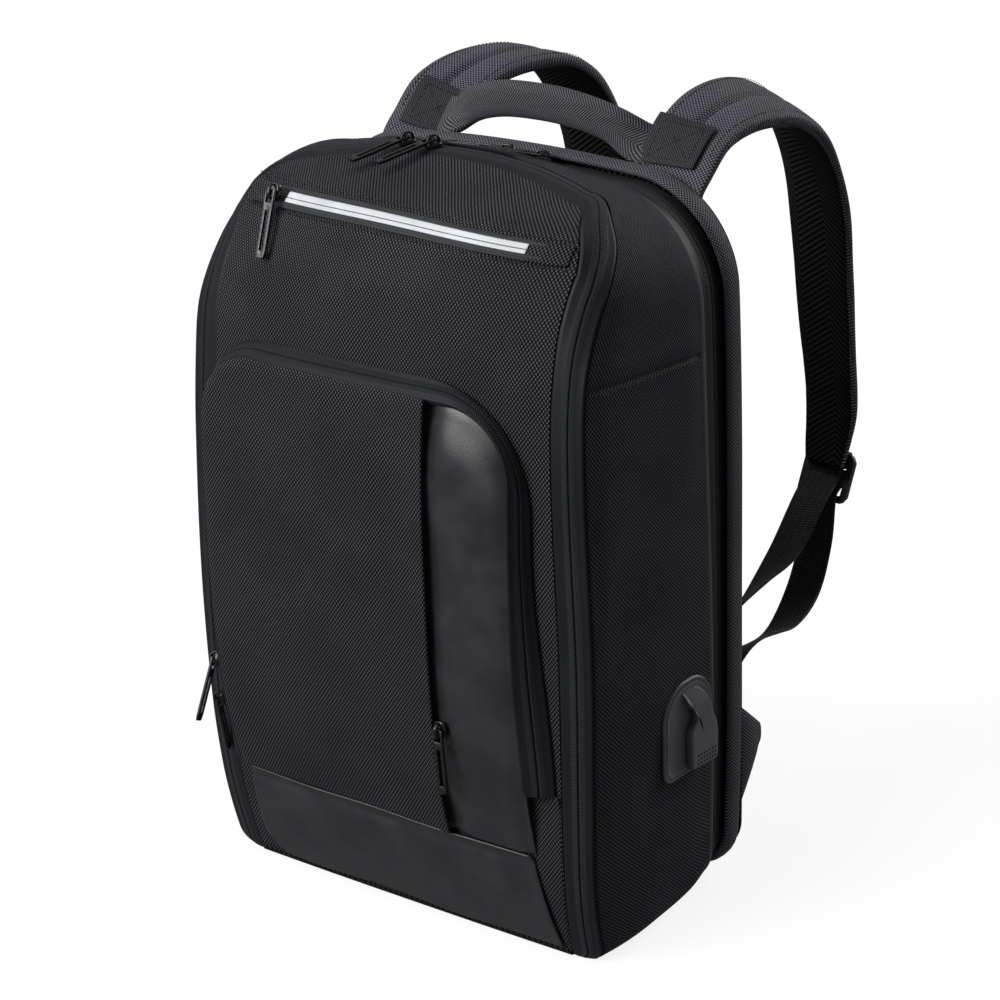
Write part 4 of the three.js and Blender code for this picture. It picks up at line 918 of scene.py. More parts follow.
makeGusset(gusset)
makeGussetBinding(gussetBinding)

rearTape = {"tuck": 4, "gussetInset": 2.6, "gussetBack": 1, "rim": {"inset": 6.1, "back": -11}, "middle": 0.5}


def makeRearTape(size):
    hidden = shellLine("gusset", inset=size["gussetInset"], back=-size["tuck"])
    first = shellLine("gusset", inset=size["gussetInset"], back=size["gussetBack"])
    second = shellLine("rim", **size["rim"])
    tucks = [(0, hidden, size["tuck"] + size["gussetBack"])]
    sewTape("rear_zip", "rear_zip_tape", first, second, size["middle"], tucks)


makeRearTape(rearTape)

# Padded rim and the base

rim = {"middle": -7.4, "half": 7.3, "sink": -1.3, "rise": 2.5, "sides": 20, "square": 2.6, "footSteps": 44,
       "fill": 0.7}
base = {"columns": 46, "thickness": 1.6, "edge": 0.5, "frontInset": 12, "frontDepth": -66.2, "frontRise": 0.8,
        "rearDepth": 46, "rearRise": 5, "heelDepth": 55, "heelRise": 8.8, "endDepth": 60.6, "endRise": 11,
        "tapeInset": 2.3, "sideGap": 1.2, "turnUp": 0.84, "lift": 0.2}
basePiping = {"radius": 1.9, "sides": 10, "sink": 0.6, "rise": 2.6, "reach": 124}


def makeRim(size):
    turn = wholeTurn(size["sides"])
    lines = []
    for a in turn:
        back = size["middle"] + size["half"] * float(power(math.cos(a), 2 / size["square"]))
        swell = size["sink"] + size["rise"] * float(power(math.sin(a), 2 / size["square"]))
        line = shellLine("rim", swell=swell, back=back, foot=shellLines["rim"]["foot"] - swell)
        foot = np.linspace(line[-1], line[0], size["footSteps"] + 2)[1:-1]
        lines.append(np.concatenate([line, foot]))
    rings = np.stack(lines, 1)
    around = np.concatenate([lengths(rings[0]), [lengths(rings[0])[-1] + 3]])
    run = lengths(np.concatenate([rings[:, 0], rings[:1, 0]]))
    uv = np.stack(np.broadcast_arrays(around[None], run[:, None]), -1)
    shape = newShape()
    addTube(shape, rings, uv, ring=True)
    settle(finishMesh("rim_pad", shape, "ribCloth"), "ribbed_cloth", "back_rim", fill=size["fill"])


def makeBase(size):
    feet = np.stack([gussetRow(s)[-1] for s in np.linspace(0, 0.8, 20)])
    tapeFoot = shellLine("gusset", inset=size["tapeInset"], back=rearTape["gussetBack"])[-1, 0]
    rimFoot = shellLine("rim", **rearTape["rim"])[-1, 0]
    rows = [[feet[0, 0] - size["frontInset"], size["frontDepth"], size["frontRise"]], *feet.tolist(),
            [tapeFoot, size["rearDepth"], size["rearRise"]], [rimFoot, size["heelDepth"], size["heelRise"]],
            [rimFoot, size["endDepth"], size["endRise"]]]
    rows = np.array(rows)
    share = np.linspace(-1, 1, size["columns"])
    low = np.where(rows[:, 1:2] <= size["heelDepth"], 0, rows[:, 2:])
    edge = smooth(size["turnUp"], 1, np.abs(share))[None]
    x = (rows[:, :1] - size["sideGap"]) * share[None]
    y = np.broadcast_to(rows[:, 1:2], x.shape)
    z = low * (1 - edge) + rows[:, 2:] * edge + size["lift"]
    grid, uv = np.stack([x, y, z], -1), np.stack([x, y], -1)
    sewWall("base_cloth", "sideWeave", "woven_cloth", ["base_panel"], grid, uv, size)


def makeBasePiping(size):
    x = np.linspace(-size["reach"], size["reach"], 90)
    z = np.full_like(x, size["rise"])
    line = np.stack([x, frontDepth(x, z) + size["sink"], z], 1)
    ahead = unit(np.gradient(line, axis=0))
    up = np.array([0.0, 0.0, 1.0])
    out = np.cross(ahead, up)
    turn = wholeTurn(size["sides"])
    rings = line[:, None] + size["radius"] * (np.cos(turn)[None, :, None] * out[:, None]
                                              + np.sin(turn)[None, :, None] * up)
    # the piping takes the herringbone finish that is darkened as painted shade
    sewTube("base_piping", "shadeDarkenedHerring", "woven_cloth", [], rings, tubeUv(rings))


makeRim(rim)
makeBase(base)
makeBasePiping(basePiping)
print("shell made")

# Back panel: a foam pad inside a sewn flange

backPanel = {"half": 150.6, "foot": 9.6, "top": 458, "footRadius": 27, "topRadius": 65, "columns": 110,
             "rows": 150, "flange": 6.5, "flangeDepth": 2.0, "padDepth": 12.6, "padEdge": 16, "crown": 1.6,
             "crownFrom": 20, "crownTo": 130, "seamDip": 0.9, "seamHalf": 1.6, "channelHalf": 8.5,
             "channelDepth": 3.4, "channelFoot": (60, 110), "channelTop": (420, 370), "unevenness": 0.5,
             "ripple": (110, 5), "inner": 0.5, "thickness": 1.0, "edge": 0.5, "fill": 0.7}


def roundedHalf(size, z):  # half width of a panel with round corners at a height
    low = np.clip(size["foot"] + size["footRadius"] - z, 0, size["footRadius"])
    high = np.clip(z - size["top"] + size["topRadius"], 0, size["topRadius"])
    cutLow = size["footRadius"] - np.sqrt(size["footRadius"] ** 2 - low**2)
    cutHigh = size["topRadius"] - np.sqrt(size["topRadius"] ** 2 - high**2)
    return size["half"] - cutLow - cutHigh


def makeBackPanel(size):
    turn = np.linspace(0, math.pi, size["rows"])
    t = (1 - np.cos(turn)) / 2  # rows lie closer near the foot and the top
    t = 0.5 * t + 0.5 * np.linspace(0, 1, size["rows"])
    z = size["foot"] + (size["top"] - size["foot"]) * t
    z = np.broadcast_to(z[:, None], (size["rows"], size["columns"]))
    s = np.linspace(-1, 1, size["columns"])
    s = 0.6 * s + 0.4 * np.sin(s * math.pi / 2)
    x = s[None] * roundedHalf(size, z)
    radius = np.where(z > bagMiddle[2], size["topRadius"], size["footRadius"])
    middleZ = np.clip(z, size["foot"] + size["footRadius"], size["top"] - size["topRadius"])
    cornerX = size["half"] - radius
    off = np.hypot(np.maximum(np.abs(x) - cornerX, 0), z - middleZ)
    inside = np.where(np.abs(x) > cornerX, radius - off,
                      np.minimum(size["half"] - np.abs(x), radius - np.abs(z - middleZ)))
    inside = np.where((np.abs(x) > cornerX) & (z == middleZ), size["half"] - np.abs(x), inside)
    rise = np.sqrt(smooth(size["flange"], size["flange"] + size["padEdge"], inside))
    deep = size["flangeDepth"] + (size["padDepth"] - size["flangeDepth"]) * rise
    deep = deep + size["crown"] * smooth(size["crownFrom"], size["crownTo"], inside)
    deep = deep - size["seamDip"] * bell(inside - size["flange"], size["seamHalf"])
    ends = smooth(*size["channelFoot"], z) * smooth(*size["channelTop"], z)
    deep = deep - size["channelDepth"] * bell(x, size["channelHalf"]) * ends * rise
    deep = deep + size["unevenness"] * ripple(x, z, *size["ripple"]) * rise
    y = along(rearEdges, "rimDepth", z)
    outer = np.stack([x, y + deep, z], -1)
    inner = np.stack([x, y + size["inner"], z], -1)
    sewWall("back_pad", "backMesh", "ribbed_cloth", ["back_panel"], outer, np.stack([x, z], -1), size, inner)


makeBackPanel(backPanel)
print("back made")

# Front pocket: arched zip, woven panel, leather panel and band

arch = {"inner": {"left": 124, "right": 106.5, "top": 354.5, "leftRadius": 42, "rightRadius": 45,
                  "flare": 3, "flareTop": 205},
        "outer": {"left": 129.5, "right": 115, "top": 364, "leftRadius": 48, "rightRadius": 71,
                  "flare": 11.5, "flareTop": 270},
        "leftEnd": 76, "rightEnd": 116, "legSteps": 44, "turnSteps": 22, "topSteps": 22}
pocketSwell = {"z": [60, 74, 115, 160, 200, 300, 353], "share": [0.03, 0.08, 0.6, 0.88, 1, 1, 0.8]}
pocketTape = {"middle": 0.52, "tuck": 3.0, "tuckDrop": 0.9, "towards": (0, -100, 200)}
pocket = {"left": 15, "right": 11, "bottom": 72.8, "slit": 50, "lip": 5, "puff": 2, "lift": 0.8,
          "lipLift": 3.4, "lipReach": 40, "edgeGap": -1.0, "columns": 76, "rows": 120, "thickness": 2.2,
          "edge": 0.9, "sideDrop": 1.5, "topDrop": 1.2, "dropReach": 4, "unevenness": 0.4,
          "ripple": (90, 21), "hem": 25, "fill": 0.3}
leather = {"columns": 60, "rows": 120, "thickness": 1.5, "edge": 0.7, "puff": 1.8, "puffFrom": (72, 130),
           "topPuff": 1.6, "topPuffAt": 34, "topPuffHalf": 26, "dentX": 88, "dentZ": 267, "dentDepth": 1.0,
           "dentSize": 7, "ridge": 0.5, "ridgeX": 93, "ridgeZ": 259, "ridgeSize": 5, "sideDrop": 1.6,
           "sideReach": 5, "topDrop": 1.2, "topReach": 4, "topRoll": 3.6, "rollReach": 24,
           "slitDrop": 2.2, "slitReach": 9, "sag": 0.35, "ripple": (75, 33)}
leatherBand = {"bottom": 7, "top": 72, "left": (116.5, 115), "right": (108, 120), "lift": 0.9, "rows": 44,
               "columns": 90, "thickness": 1.5, "edge": 0.75, "roll": 1.5, "rollReach": 2.4, "groove": 0.8,
               "grooveAt": 6, "grooveHalf": 3, "corner": 14, "cornerSpan": (30, 6), "crown": 1.2,
               "crownZ": 34, "crownHalf": 20, "unevenness": 0.7, "ripple": (90, 41)}


def flareAt(size, z):  # the right leg's foot stands further out
    return size["flare"] * (1 - smooth(arch["rightEnd"], size["flareTop"], z))


def archEdge(size):
    leftCorner, rightCorner = size["top"] - size["leftRadius"], size["top"] - size["rightRadius"]
    turn = np.linspace(0, math.pi / 2, arch["turnSteps"] + 1)
    leg = np.linspace(0, 1, arch["legSteps"], endpoint=False)
    leftZ = arch["leftEnd"] + (leftCorner - arch["leftEnd"]) * leg
    leftLeg = np.stack([np.full_like(leg, -size["left"]), leftZ], 1)
    leftTurn = np.stack([-size["left"] + size["leftRadius"] * (1 - np.cos(turn)),
                         leftCorner + size["leftRadius"] * np.sin(turn)], 1)
    rightTurn = np.stack([size["right"] - size["rightRadius"] * (1 - np.cos(turn)),
                          rightCorner + size["rightRadius"] * np.sin(turn)], 1)[::-1]
    flat = np.linspace(leftTurn[-1], rightTurn[0], arch["topSteps"] + 2)[1:-1]
    down = np.linspace(0, 1, arch["legSteps"] + 1)[1:]
    rightZ = rightCorner + (arch["rightEnd"] - rightCorner) * down
    rightLeg = np.stack([size["right"] + flareAt(size, rightZ), rightZ], 1)
    return np.concatenate([leftLeg, leftTurn, flat, rightTurn, rightLeg])


def archInnerTop(x):  # the arch's height at a place across
    size = arch["inner"]
    reach = np.where(x < 0, size["left"], size["right"])
    full = np.where(x < 0, size["leftRadius"], size["rightRadius"])
    radius = full - pocket["edgeGap"]
    over = np.clip(np.abs(x) - (reach - full), 0, radius)
    return size["top"] - full + np.sqrt(radius**2 - over**2)


def pocketLift(x, z):  # how far the filled pocket stands off the front
    size = arch["inner"]
    share = np.clip((x + size["left"]) / (size["left"] + size["right"]), 0, 1)
    rise = pocket["left"] + (pocket["right"] - pocket["left"]) * share
    return pocket["lift"] + rise * along(pocketSwell, "share", z)


def makePocketZip(size):
    x, z = archEdge(arch["inner"]).T
    first = onFront(x, z, pocketLift(x, z) + tape["thickness"])
    under = onFront(x, z, pocketLift(x, z) - size["tuckDrop"])
    inward = np.cross(frontNormal(x, z), unit(np.gradient(under, axis=0)))
    inward *= np.sign(np.sum(inward * (np.array(size["towards"]) - under), 1, keepdims=True))
    tucks = [(0, under + inward * size["tuck"], size["tuck"])]
    second = onFront(*archEdge(arch["outer"]).T, pocket["lift"] + tape["thickness"])
    sewTape("pocket_zip", "pocket_zip_tape", first, second, size["middle"], tucks)


def filled(left, right, columns, rows):  # a grid under the arch, and each place's share of the width
    s = np.linspace(-1, 1, columns)
    share = (0.55 * s + 0.45 * np.sin(s * math.pi / 2) + 1) / 2
    x = left + (right - left) * share
    t = np.linspace(-1, 1, rows)
    t = (0.7 * t + 0.3 * np.sin(t * math.pi / 2) + 1) / 2
    bottom = pocket["bottom"] + pocket["edge"]
    z = bottom + (archInnerTop(x)[None] - pocket["edge"] - bottom) * t[:, None]
    return np.broadcast_to(x[None], z.shape), z, np.broadcast_to(share[None], z.shape)


def makePocketPanel(size):
    left, slit = size["edgeGap"] + size["edge"] - arch["inner"]["left"], size["slit"] - size["edge"]
    x, z, _ = filled(left, slit, size["columns"], size["rows"])
    across = 2 * (x - left) / (slit - left) - 1
    up = 2 * (z - size["bottom"]) / (arch["inner"]["top"] - size["bottom"]) - 1
    puff = size["puff"] * np.maximum(1 - across**2, 0) * np.maximum(1 - up**2, 0)
    nearSlit = np.clip((x - (size["slit"] - size["lipReach"])) / size["lipReach"], 0, 1)
    reach = size["dropReach"]
    edgeDrop = size["sideDrop"] * bell(x - left, reach) + size["topDrop"] * bell(archInnerTop(x) - z, reach)
    held = smooth(0, size["hem"], x - left) * smooth(0, size["hem"], slit - x)
    lift = pocketLift(x, z) + puff + size["lipLift"] * nearSlit**2 + size["thickness"] - edgeDrop
    lift = lift + size["unevenness"] * ripple(x, z, *size["ripple"]) * held
    grid, uv = onFront(x, z, lift), np.stack([x, z], -1)
    sewWall("pocket_cloth", "frontWeave", "woven_cloth", ["pocket_panel"], grid, uv, size)


def makeLeatherPanel(size):
    left = pocket["slit"] - pocket["lip"]
    right = arch["inner"]["right"] - pocket["edgeGap"] - size["edge"]
    x, z, share = filled(left, right, size["columns"], size["rows"])
    across = 2 * share - 1
    toTop = archInnerTop(x) - z
    edgeDrop = size["sideDrop"] * bell(x - right, size["sideReach"])
    edgeDrop = edgeDrop + size["topDrop"] * bell(toTop, size["topReach"])
    edgeDrop = edgeDrop + size["topRoll"] * bell(toTop, size["rollReach"]) ** 1.4
    slitDrop = size["slitDrop"] * bell(x - pocket["slit"], size["slitReach"])
    arched = np.maximum(1 - across**2, 0)
    puff = size["puff"] * arched * smooth(*size["puffFrom"], z)
    puff = puff + size["topPuff"] * bell(toTop - size["topPuffAt"], size["topPuffHalf"]) * arched
    dent = size["dentDepth"] * bell(np.hypot(x - size["dentX"], (z - size["dentZ"]) * 0.8), size["dentSize"])
    ridge = size["ridge"] * bell(np.hypot(x - size["ridgeX"], z - size["ridgeZ"]), size["ridgeSize"])
    sag = size["sag"] * ripple(x, z * 0.7, *size["ripple"])
    lift = pocketLift(x, z) + size["thickness"] + puff - edgeDrop - slitDrop - dent + ridge + sag
    x = x + share * flareAt(arch["inner"], z)
    grid, uv = onFront(x, z, lift), np.stack([x, z], -1)
    sewWall("leather_front", "leather", "leather", ["leather_panel"], grid, uv, size)


def makeLeatherBand(size):
    t = np.linspace(0, 1, size["rows"])
    t = 1 - (1 - t) ** 1.3
    share = np.linspace(0, 1, size["columns"])
    z = size["bottom"] + size["edge"] + (size["top"] - size["bottom"] - 2 * size["edge"]) * t
    left, right = (low + (high - low) * t - size["edge"] for high, low in (size["left"], size["right"]))
    left = left - size["corner"] * smooth(*size["cornerSpan"], z) ** 2.2  # the lower left corner is cut round
    x = (right + left)[:, None] * share[None] - left[:, None]
    z = np.broadcast_to(z[:, None], x.shape)
    toTop = size["top"] - z
    roll = size["roll"] * bell(toTop, size["rollReach"])
    roll = roll - size["groove"] * bell(toTop - size["grooveAt"], size["grooveHalf"])
    uneven = size["unevenness"] * ripple(x, z * 1.4, *size["ripple"])
    crown = size["crown"] * bell(z - size["crownZ"], size["crownHalf"])
    lift = size["lift"] + size["thickness"] + roll + uneven + crown
    grid, uv = onFront(x, z, lift), np.stack([x, z], -1)
    sewWall("leather_foot", "leather", "leather", ["leather_band"], grid, uv, size)


gore = {"left": 104, "rightGap": 3.2, "topZ": 116.5, "bottomZ": 9, "lift": 0.35, "roll": 1.6, "rollReach": 5,
        "thickness": 0.7, "edge": 0.4, "rows": 60, "columns": 12}


def makeGore(size):  # cloth below the right end of the arched zip
    z = np.linspace(size["bottomZ"], size["topZ"], size["rows"])
    right = along(frontEdges, "panelHalf", z) - size["rightGap"]
    share = np.linspace(0, 1, size["columns"])
    x = size["left"] + (right[:, None] - size["left"]) * share[None]
    z = np.broadcast_to(z[:, None], x.shape)
    lift = size["lift"] + size["roll"] * bell(z - size["topZ"], size["rollReach"])
    grid, uv = onFront(x, z, lift), np.stack([x, z], -1)
    sewWall("pocket_side_cloth", "frontWeave", "woven_cloth", [], grid, uv, size)


makePocketZip(pocketTape)
makePocketPanel(pocket)
makeLeatherPanel(leather)
makeLeatherBand(leatherBand)
makeGore(gore)
print("pocket made")

# Upper zip: a sunk satin surround, the pale strip and a cloth tab at each end

upperBorder = {"half": 106, "low": -5.0, "high": 4.4, "lift": 0.35, "lip": 0.9,
               "lips": ((3.0, 0.8), (-3.2, 0.9)), "thickness": 0.8, "edge": 0.2}
upperStrip = {"left": -82, "right": 95.5, "bands": ((-2.35, -0.45), (-0.1, 2.35)), "lift": 1.5, "round": 0.35,
              "thickness": 0.8, "edge": 0.15}
upperTabs = {"spans": ((-118, -93), (97, 121)), "low": -5.0, "high": 4.4, "lift": 0.9, "thickness": 0.9,
             "edge": 0.4}


def laidStrip(left, right, low, high, columns, rows=13):
    x = np.linspace(left, right, columns)
    off = np.linspace(low, high, rows)
    z = upperZipHeight(x)[None] + off[:, None]
    return np.broadcast_to(x[None], z.shape), z, np.broadcast_to(off[:, None], z.shape)


def makeUpperBorder(size):
    x, z, off = laidStrip(-size["half"], size["half"], size["low"], size["high"], 90, 21)
    lift = size["lift"] + size["lip"] * sum(bell(off - at, half) for at, half in size["lips"])
    grid, uv = onFront(x, z, lift), np.stack([x, off + 20], -1)
    sewWall("upper_zip_border", "binding", "zip_tape", ["upper_zip_surround"], grid, uv, size)


def makeUpperStrip(size):
    shape = newShape()
    for low, high in size["bands"]:  # two halves of the strip beside a thin dark line
        x, z, off = laidStrip(size["left"], size["right"], low, high, 120)
        across = 2 * (off - low) / (high - low) - 1
        grid = onFront(x, z, size["lift"] - size["round"] * across**4)
        addWall(shape, grid, np.stack([x, off], -1), size["thickness"], size["edge"])
    settle(finishMesh("upper_zip_band", shape, "reflector"), "reflector", "upper_zip_strip")


def makeUpperTabs(size):
    shape = newShape()
    for left, right in size["spans"]:
        x, z, off = laidStrip(left, right, size["low"], size["high"], 22)
        grid = onFront(x, z, np.full(z.shape, size["lift"]))
        addWall(shape, grid, np.stack([x, off * 1.5], -1), size["thickness"], size["edge"])
    settle(finishMesh("upper_zip_tabs", shape, "frontWeave"), "woven_cloth")


makeUpperBorder(upperBorder)
makeUpperStrip(upperStrip)
makeUpperTabs(upperTabs)

# Charging patch: a stitched rubber plate with a hood, a scoop beside it and a small grid of near-black discs
# painted as the shade inside perforation holes

patch = {"x": 155.4, "y": 9, "z": 132, "width": 52.5, "height": 62.5, "topRadius": 23, "footRadius": 9,
         "lip": 1.9, "floor": 0.5, "border": 3.4, "scoopReach": 5.5, "scoopTop": (30, 16), "rings": 40,
         "around": 160, "groove": 0.45, "grooveAt": 2.4, "grooveHalf": 0.6, "stitchScale": (0.905, 0.92),
         "stitchLift": 1.6, "stitchPitch": 2.6}
hood = {"rise": 4.7, "foot": 1.6, "from": 25, "to": 8, "middle": (11, -8),
        "left": [(-1.8, -27.9), (-2.1, -13.8), (-2.5, -4.9), (-1.1, -1.5), (2.8, 2.2), (4.2, 5.7),
                 (2.8, 10.8), (-1.8, 18.4), (-7.0, 24.2)],
        "right": [(-4, 25.4), (3, 25.2), (10, 23), (15.5, 18.5), (17.7, 14.3), (19.1, 9.1), (21, 2.5),
                  (24.3, -3.5), (26, -9.5), (26, -19.5), (25.6, -27.6), (24.2, -29.6)]}
perforation = {"y": 13.3, "z": -23.6, "columns": 7, "rows": 3, "pitchY": 3.05, "pitchZ": 2.75, "fall": 0.04,
               "radius": 0.78, "sides": 12}


def patchOutline(size):  # places across and up from the patch's middle
    w, h, top, foot = size["width"] / 2, size["height"] / 2, size["topRadius"], size["footRadius"]
    corners = [(w - foot, foot - h, foot, -90), (w - top, h - top, top, 0), (top - w, h - top, top, 90),
               (foot - w, foot - h, foot, 180)]
    line = []
    for y, z, radius, start in corners:
        for a in np.radians(np.linspace(start, start + 90, 14)):
            line.append((y + radius * math.cos(a), z + radius * math.sin(a)))
    line = np.array(line + line[:1])
    run = lengths(line)
    at = np.linspace(0, run[-1], size["around"], endpoint=False)
    return np.stack([np.interp(at, run, line[:, 0]), np.interp(at, run, line[:, 1])], 1)


def hoodHeight(z):
    return hood["foot"] + hood["rise"] * smooth(hood["from"], hood["to"], z)


def hoodRings(size):
    sides = [np.stack([curvePoint(np.array(size[k], float), s) for s in np.linspace(0, 1, 60)])
             for k in ("left", "right")]
    foot = np.linspace(sides[1][-1], sides[0][0], 24)[1:-1]
    line = np.concatenate([*sides, foot])
    ahead = unit(np.roll(line, -1, 0) - np.roll(line, 1, 0))
    inward = np.stack([ahead[:, 1], -ahead[:, 0]], 1)
    middle = np.array(size["middle"], float)
    inner = line + inward * 1.0
    flats = [line, line, line + inward * 0.15, line + inward * 0.5, inner]
    drops = [None, 0.9, 0.35, 0.08, 0.0]
    for share in (0.75, 0.5, 0.25, 0.04):
        flats.append(middle + (inner - middle) * share)
        drops.append(0.0)
    rings = []
    for flat, drop in zip(flats, drops):
        height = np.full(len(flat), 0.2) if drop is None else hoodHeight(flat[:, 1]) - drop
        rings.append(np.stack([height, flat[:, 0], flat[:, 1]], 1))
    return np.stack(rings)


def onPatch(rings):
    return rings + np.array([patch["x"], patch["y"], patch["z"]])


def makeChargingPatch(size):
    outline = patchOutline(size)
    scale = np.linspace(1, 0.02, size["rings"]) ** 0.85
    flat = outline[None] * scale[:, None, None]
    y, z = flat[..., 0], flat[..., 1]
    edge = np.linalg.norm(outline, axis=1)[None] * (1 - scale[:, None])
    fall = smooth(size["border"], size["border"] + size["scoopReach"], edge) * smooth(*size["scoopTop"], z)
    height = size["lip"] * smooth(-0.6, 0.8, edge)
    height = height - size["groove"] * bell(edge - size["grooveAt"], size["grooveHalf"])
    height = height - (size["lip"] - size["floor"]) * fall
    top = np.stack([height, y, z], -1)
    under = top[:1].copy()
    under[..., 0] = 0
    shape = newShape()
    for rings in (np.concatenate([under, top]), hoodRings(hood)):
        uv = np.concatenate([rings, rings[:, :1]], 1)[..., 1:]
        addTube(shape, onPatch(rings), uv)
    settle(finishMesh("charging_patch", shape, "rubber"), "rubber", "usb_patch")
    lift = np.full((size["around"], 1), size["stitchLift"])
    line = onPatch(np.concatenate([lift, outline * size["stitchScale"]], 1))
    addStitches(bodyStitches, np.concatenate([line, line[:1]]), np.array([1.0, 0, 0]), size["stitchPitch"])


# each perforation is a shallow disc painted near black as the shade of a hole, not an opening
def makePerforation(size):
    shape = newShape()
    turn, radius = wholeTurn(size["sides"]), size["radius"]
    for r in range(size["rows"]):
        for c in range(size["columns"]):
            across = (c - (size["columns"] - 1) / 2) * size["pitchY"]
            up = (r - (size["rows"] - 1) / 2) * size["pitchZ"] - size["fall"] * across
            y, z = size["y"] + across, size["z"] + up
            ring = [(float(hoodHeight(z)) + dx, y + s * radius * math.cos(a), z + s * radius * math.sin(a))
                    for dx, s in ((-0.3, 1.0), (0.06, 1.0), (0.08, 0.6)) for a in turn]
            rings = np.array(ring).reshape(3, len(turn), 3)
            addTube(shape, onPatch(rings), np.zeros((3, len(turn) + 1, 2)))
    settle(finishMesh("charging_hole_shade", shape, "paintedHoleShade"), "rubber")


makeChargingPatch(patch)
makePerforation(perforation)
print("trim made")

# Straps, handle and webbing

strapDepth = [8, 9, 10, 11] + [11.5] * 6 + [11, 10, 8, 6]
rightStrap = {
    "x": [102, 102, 102, 103.5, 105.5, 107, 107.5, 107.5, 106.5, 105, 104, 103, 102, 102],
    "y": [78, 90, 106, 127, 152, 180, 205, 224, 239, 249, 257, 264, 263, 257.5],
    "z": [448, 462, 474, 481, 482, 476, 461, 436, 402, 352, 300, 255, 234, 213],
    "width": [50, 50, 51, 54, 57, 59, 60, 59, 57, 53, 50, 46, 40, 32],
    "thickness": strapDepth,
    "across": (0.93, -0.25, -0.28),
    "root": {"x": 102, "y": 73.2, "z": 430, "width": 50, "thickness": 5},
}
leftStrap = {
    "x": [-93, -92, -90, -85, -80, -75, -74, -75, -75, -77, -85, -95, -100, -102],
    "y": [78, 90, 106, 129, 158, 188, 212, 233, 250, 260, 264, 266, 263.5, 256],
    "z": [448, 461, 476, 485, 487.5, 483, 470, 448, 412, 355, 302, 257, 234, 213],
    "width": [48] * 9 + [47, 46, 44, 40, 32],
    "thickness": strapDepth,
    "across": (0.97, 0.2, -0.1),
    "root": {"x": -93.5, "y": 73.2, "z": 430, "width": 48, "thickness": 5},
}
webbingRun = {  # from the wing up into the buckle's lower slot
    "x": [133.9, 122, 114, 115, 116, 114, 110, 106, 103, 102.4, 102],
    "y": [94, 98, 105, 125, 152, 184, 218, 241, 251.3, 256, 262.5],
    "z": [86, 98, 113, 126, 126, 122, 136, 165, 194, 196.5, 198.5],
    "width": [25] * 11, "thickness": [1.6] * 11, "turn": [0, 0, 0, 20, 34, 20] + [0] * 5,
    "across": (1, 0, 0),
}
tailRun = {  # over the buckle's middle bar and down
    "x": [102, 102, 102, 103, 101, 100, 100], "y": [264.2, 259.4, 257.4, 240, 208, 176, 150],
    "z": [209.8, 209.4, 205, 196, 165, 151, 143], "width": [25] * 7, "thickness": [1.6] * 7,
    "turn": [0, 0, 0, 0, -8, -36, -50], "across": (1, 0, 0),
}
handleRun = {  # its flat ends lie under the strap patches
    "x": [-77, -67.6, -50, -27, 0, 27, 55, 75.2, 85],
    "y": [88.8, 87.5, 84, 82, 82, 82, 84, 87.5, 88.8],
    "z": [465.7, 466.5, 477, 483.5, 485, 483.5, 477, 466.5, 465.7],
    "width": [27, 27, 23, 23, 23, 23, 23, 27, 27],
    "thickness": [4, 7, 9.5, 11, 11, 11, 9.5, 7, 4],
    "turn": [42, 38, 8, 0, 0, 0, 8, 38, 42],
    "across": (0, 0, 1),
}
strapLook = {"steps": 160, "grooveStart": (0.17, 0.23), "grooveEnd": (0.95, 0.86), "groove": 3.2,
             "grooveHalf": 2.6, "square": 3.6, "binding": 0.78, "bindingFrom": 0.14,
             "unevenness": 0.35, "rippleSize": 60, "creases": (46, 72), "creaseDepth": 1.5,
             "creaseHalf": 3.0, "fill": 0.6}
strapStitches = newShape()


def runFrames(run, shares):  # middle, side, outward direction, width and thickness along a run
    points = np.stack([run["x"], run["y"], run["z"]], 1).astype(float)
    numbered = {"turn": [0] * len(points), **run, "i": np.arange(len(points))}
    place = np.asarray(shares) * (len(points) - 1)
    middle = np.stack([curvePoint(points, s) for s in shares])
    ahead = unit(np.stack([curvePoint(points, s + 1e-4) - curvePoint(points, s - 1e-4) for s in shares]))
    across = np.array(run["across"], float)
    level = unit(across - ahead * (ahead @ across)[:, None])
    turn = np.radians(along(numbered, "turn", place, "i"))[:, None]
    side = level * np.cos(turn) + np.cross(level, ahead) * np.sin(turn)
    return (middle, side, np.cross(side, ahead), along(numbered, "width", place, "i"),
            along(numbered, "thickness", place, "i"))


def overRun(frames, u, v):  # points at shares of the width and thickness
    middle, side, out, width, thickness = frames
    return (middle[:, None] + (u * width[:, None])[..., None] * side[:, None]
            + (v * thickness[:, None])[..., None] * out[:, None])


def mirrored(run):
    across = run["across"]
    return {**run, "x": [-v for v in run["x"]], "turn": [-v for v in run["turn"]],
            "across": (across[0], -across[1], -across[2])}


def rooted(run):  # the strap with its root, sewn in behind the rim
    return {**run, **{key: [value, *run[key]] for key, value in run["root"].items()}}


def strapSection(square):  # shares of the width over the top and back under, and of the thickness
    top = np.array([-0.985, -0.95, -0.9, -0.83, -0.74, -0.62, -0.5, -0.38, -0.27, -0.18, -0.11, -0.05, 0.0])
    top = np.concatenate([top, -top[-2::-1]])
    under = np.array([0.97, 0.9, 0.8, 0.66, 0.5, 0.33, 0.16, 0.0])
    under = np.concatenate([under, -under[-2::-1]])
    u = np.concatenate([[-1], top, [1], under]) / 2
    high = (1 - np.abs(2 * u) ** square) ** (1 / square) / 2
    sign = np.concatenate([[0], np.ones(len(top)), [0], -np.ones(len(under))])
    return u, high * sign


